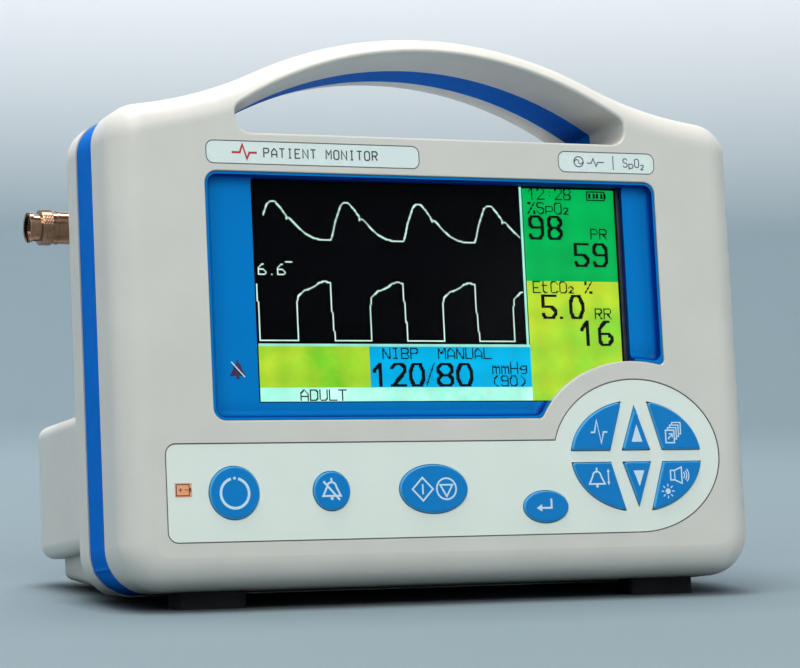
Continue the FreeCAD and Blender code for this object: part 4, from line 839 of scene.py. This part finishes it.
def make_stage():
    """A round floor that sweeps up into a backdrop on every side, in metres."""
    flat, bend, tall = 1.7, 0.9, 3.2        # the floor's radius, the cove's radius and the wall's height
    around, rows = 96, 16
    profile = [(flat + bend * math.sin(a), bend - bend * math.cos(a))
               for a in (math.radians(90 * step / (rows - 1)) for step in range(rows))]
    profile.append((flat + bend, tall))
    turns = [2 * math.pi * step / around for step in range(around)]
    points = [(r * math.cos(turn), r * math.sin(turn), z) for r, z in profile for turn in turns]
    faces = []
    for row in range(rows):
        for k in range(around):
            after = (k + 1) % around
            low, high = around * row, around * (row + 1)
            faces.append([low + k, high + k, high + after, low + after])
    faces.append(list(range(around)))
    mesh = bpy.data.meshes.new("stage_sweep")
    mesh.from_pydata(points, [], faces)
    mesh.materials.append(stage_paint())
    mesh.shade_smooth()
    sweep = bpy.data.objects.new("stage_sweep", mesh)
    scene.collection.objects.link(sweep)


def lamp(name, place, aim, size, power, colour=(1, 1, 1)):
    """A soft rectangular light that points from a place at an aim."""
    light = bpy.data.lights.new(name, "AREA")
    light.shape = "RECTANGLE"
    light.size, light.size_y = size
    light.energy = power
    light.color = colour
    thing = bpy.data.objects.new(name, light)
    scene.collection.objects.link(thing)
    thing.location = place
    thing.rotation_euler = (Vector(aim) - Vector(place)).to_track_quat("-Z", "Y").to_euler()


def make_lights():
    """Plain soft studio light: three lamps and a top light on the object, and one on the backdrop."""
    middle, wall = (0.0, 0.0, 0.1), (0.0, 2.5, 1.2)
    lamp("key_light", (-0.4, -1.3, 1.6), middle, (1.4, 0.9), 20.8, (1.0, 0.965, 0.925))
    lamp("fill_light", (1.4, -1.8, 0.25), middle, (1.0, 1.0), 6.2, (0.94, 1.0, 0.98))
    lamp("side_light", (-2.0, 0.2, 0.8), middle, (0.7, 1.4), 2.2)
    lamp("top_light", (-0.1, 0.1, 1.3), middle, (1.0, 0.4), 13)
    lamp("backdrop_light", (0.0, 1.0, 2.4), wall, (3.0, 0.6), 31, (0.97, 0.98, 1.0))
    scene.world = bpy.data.worlds.new("studio")
    scene.world.use_nodes = True
    background = scene.world.node_tree.nodes["Background"]
    background.inputs["Color"].default_value = (0.86, 0.9, 0.95, 1)
    background.inputs["Strength"].default_value = 0.2


def make_camera():
    """The camera stands to the left and looks level at the front face."""
    turn, tilt, roll = (math.radians(a) for a in (-23.24, -0.32, 0.44))
    distance = 1.046
    aim = upright @ (Vector((-17.8, 0.0, 88.5)) * MM)
    camera = bpy.data.cameras.new("camera")
    camera.sensor_width = 36.0
    camera.lens = 132.5
    turned = Matrix.Rotation(turn, 4, "Z") @ Matrix.Rotation(math.pi / 2 + tilt, 4, "X")
    turned = turned @ Matrix.Rotation(roll, 4, "Z")
    thing = bpy.data.objects.new("camera", camera)
    scene.collection.objects.link(thing)
    thing.matrix_world = Matrix.Translation(aim + turned.to_3x3() @ Vector((0, 0, distance))) @ turned
    scene.camera = thing


make_camera()
paints = finishes()
dress_nodes(paints)
make_screen()
make_printing()
make_overlay_gap_shadow()
make_coupling(paints["port_nickel"])
make_battery_grip(paints["case_grey"])
make_arrow_tips(paints["key_blue"])
make_stage()
make_lights()
scene.view_settings.view_transform = "Standard"
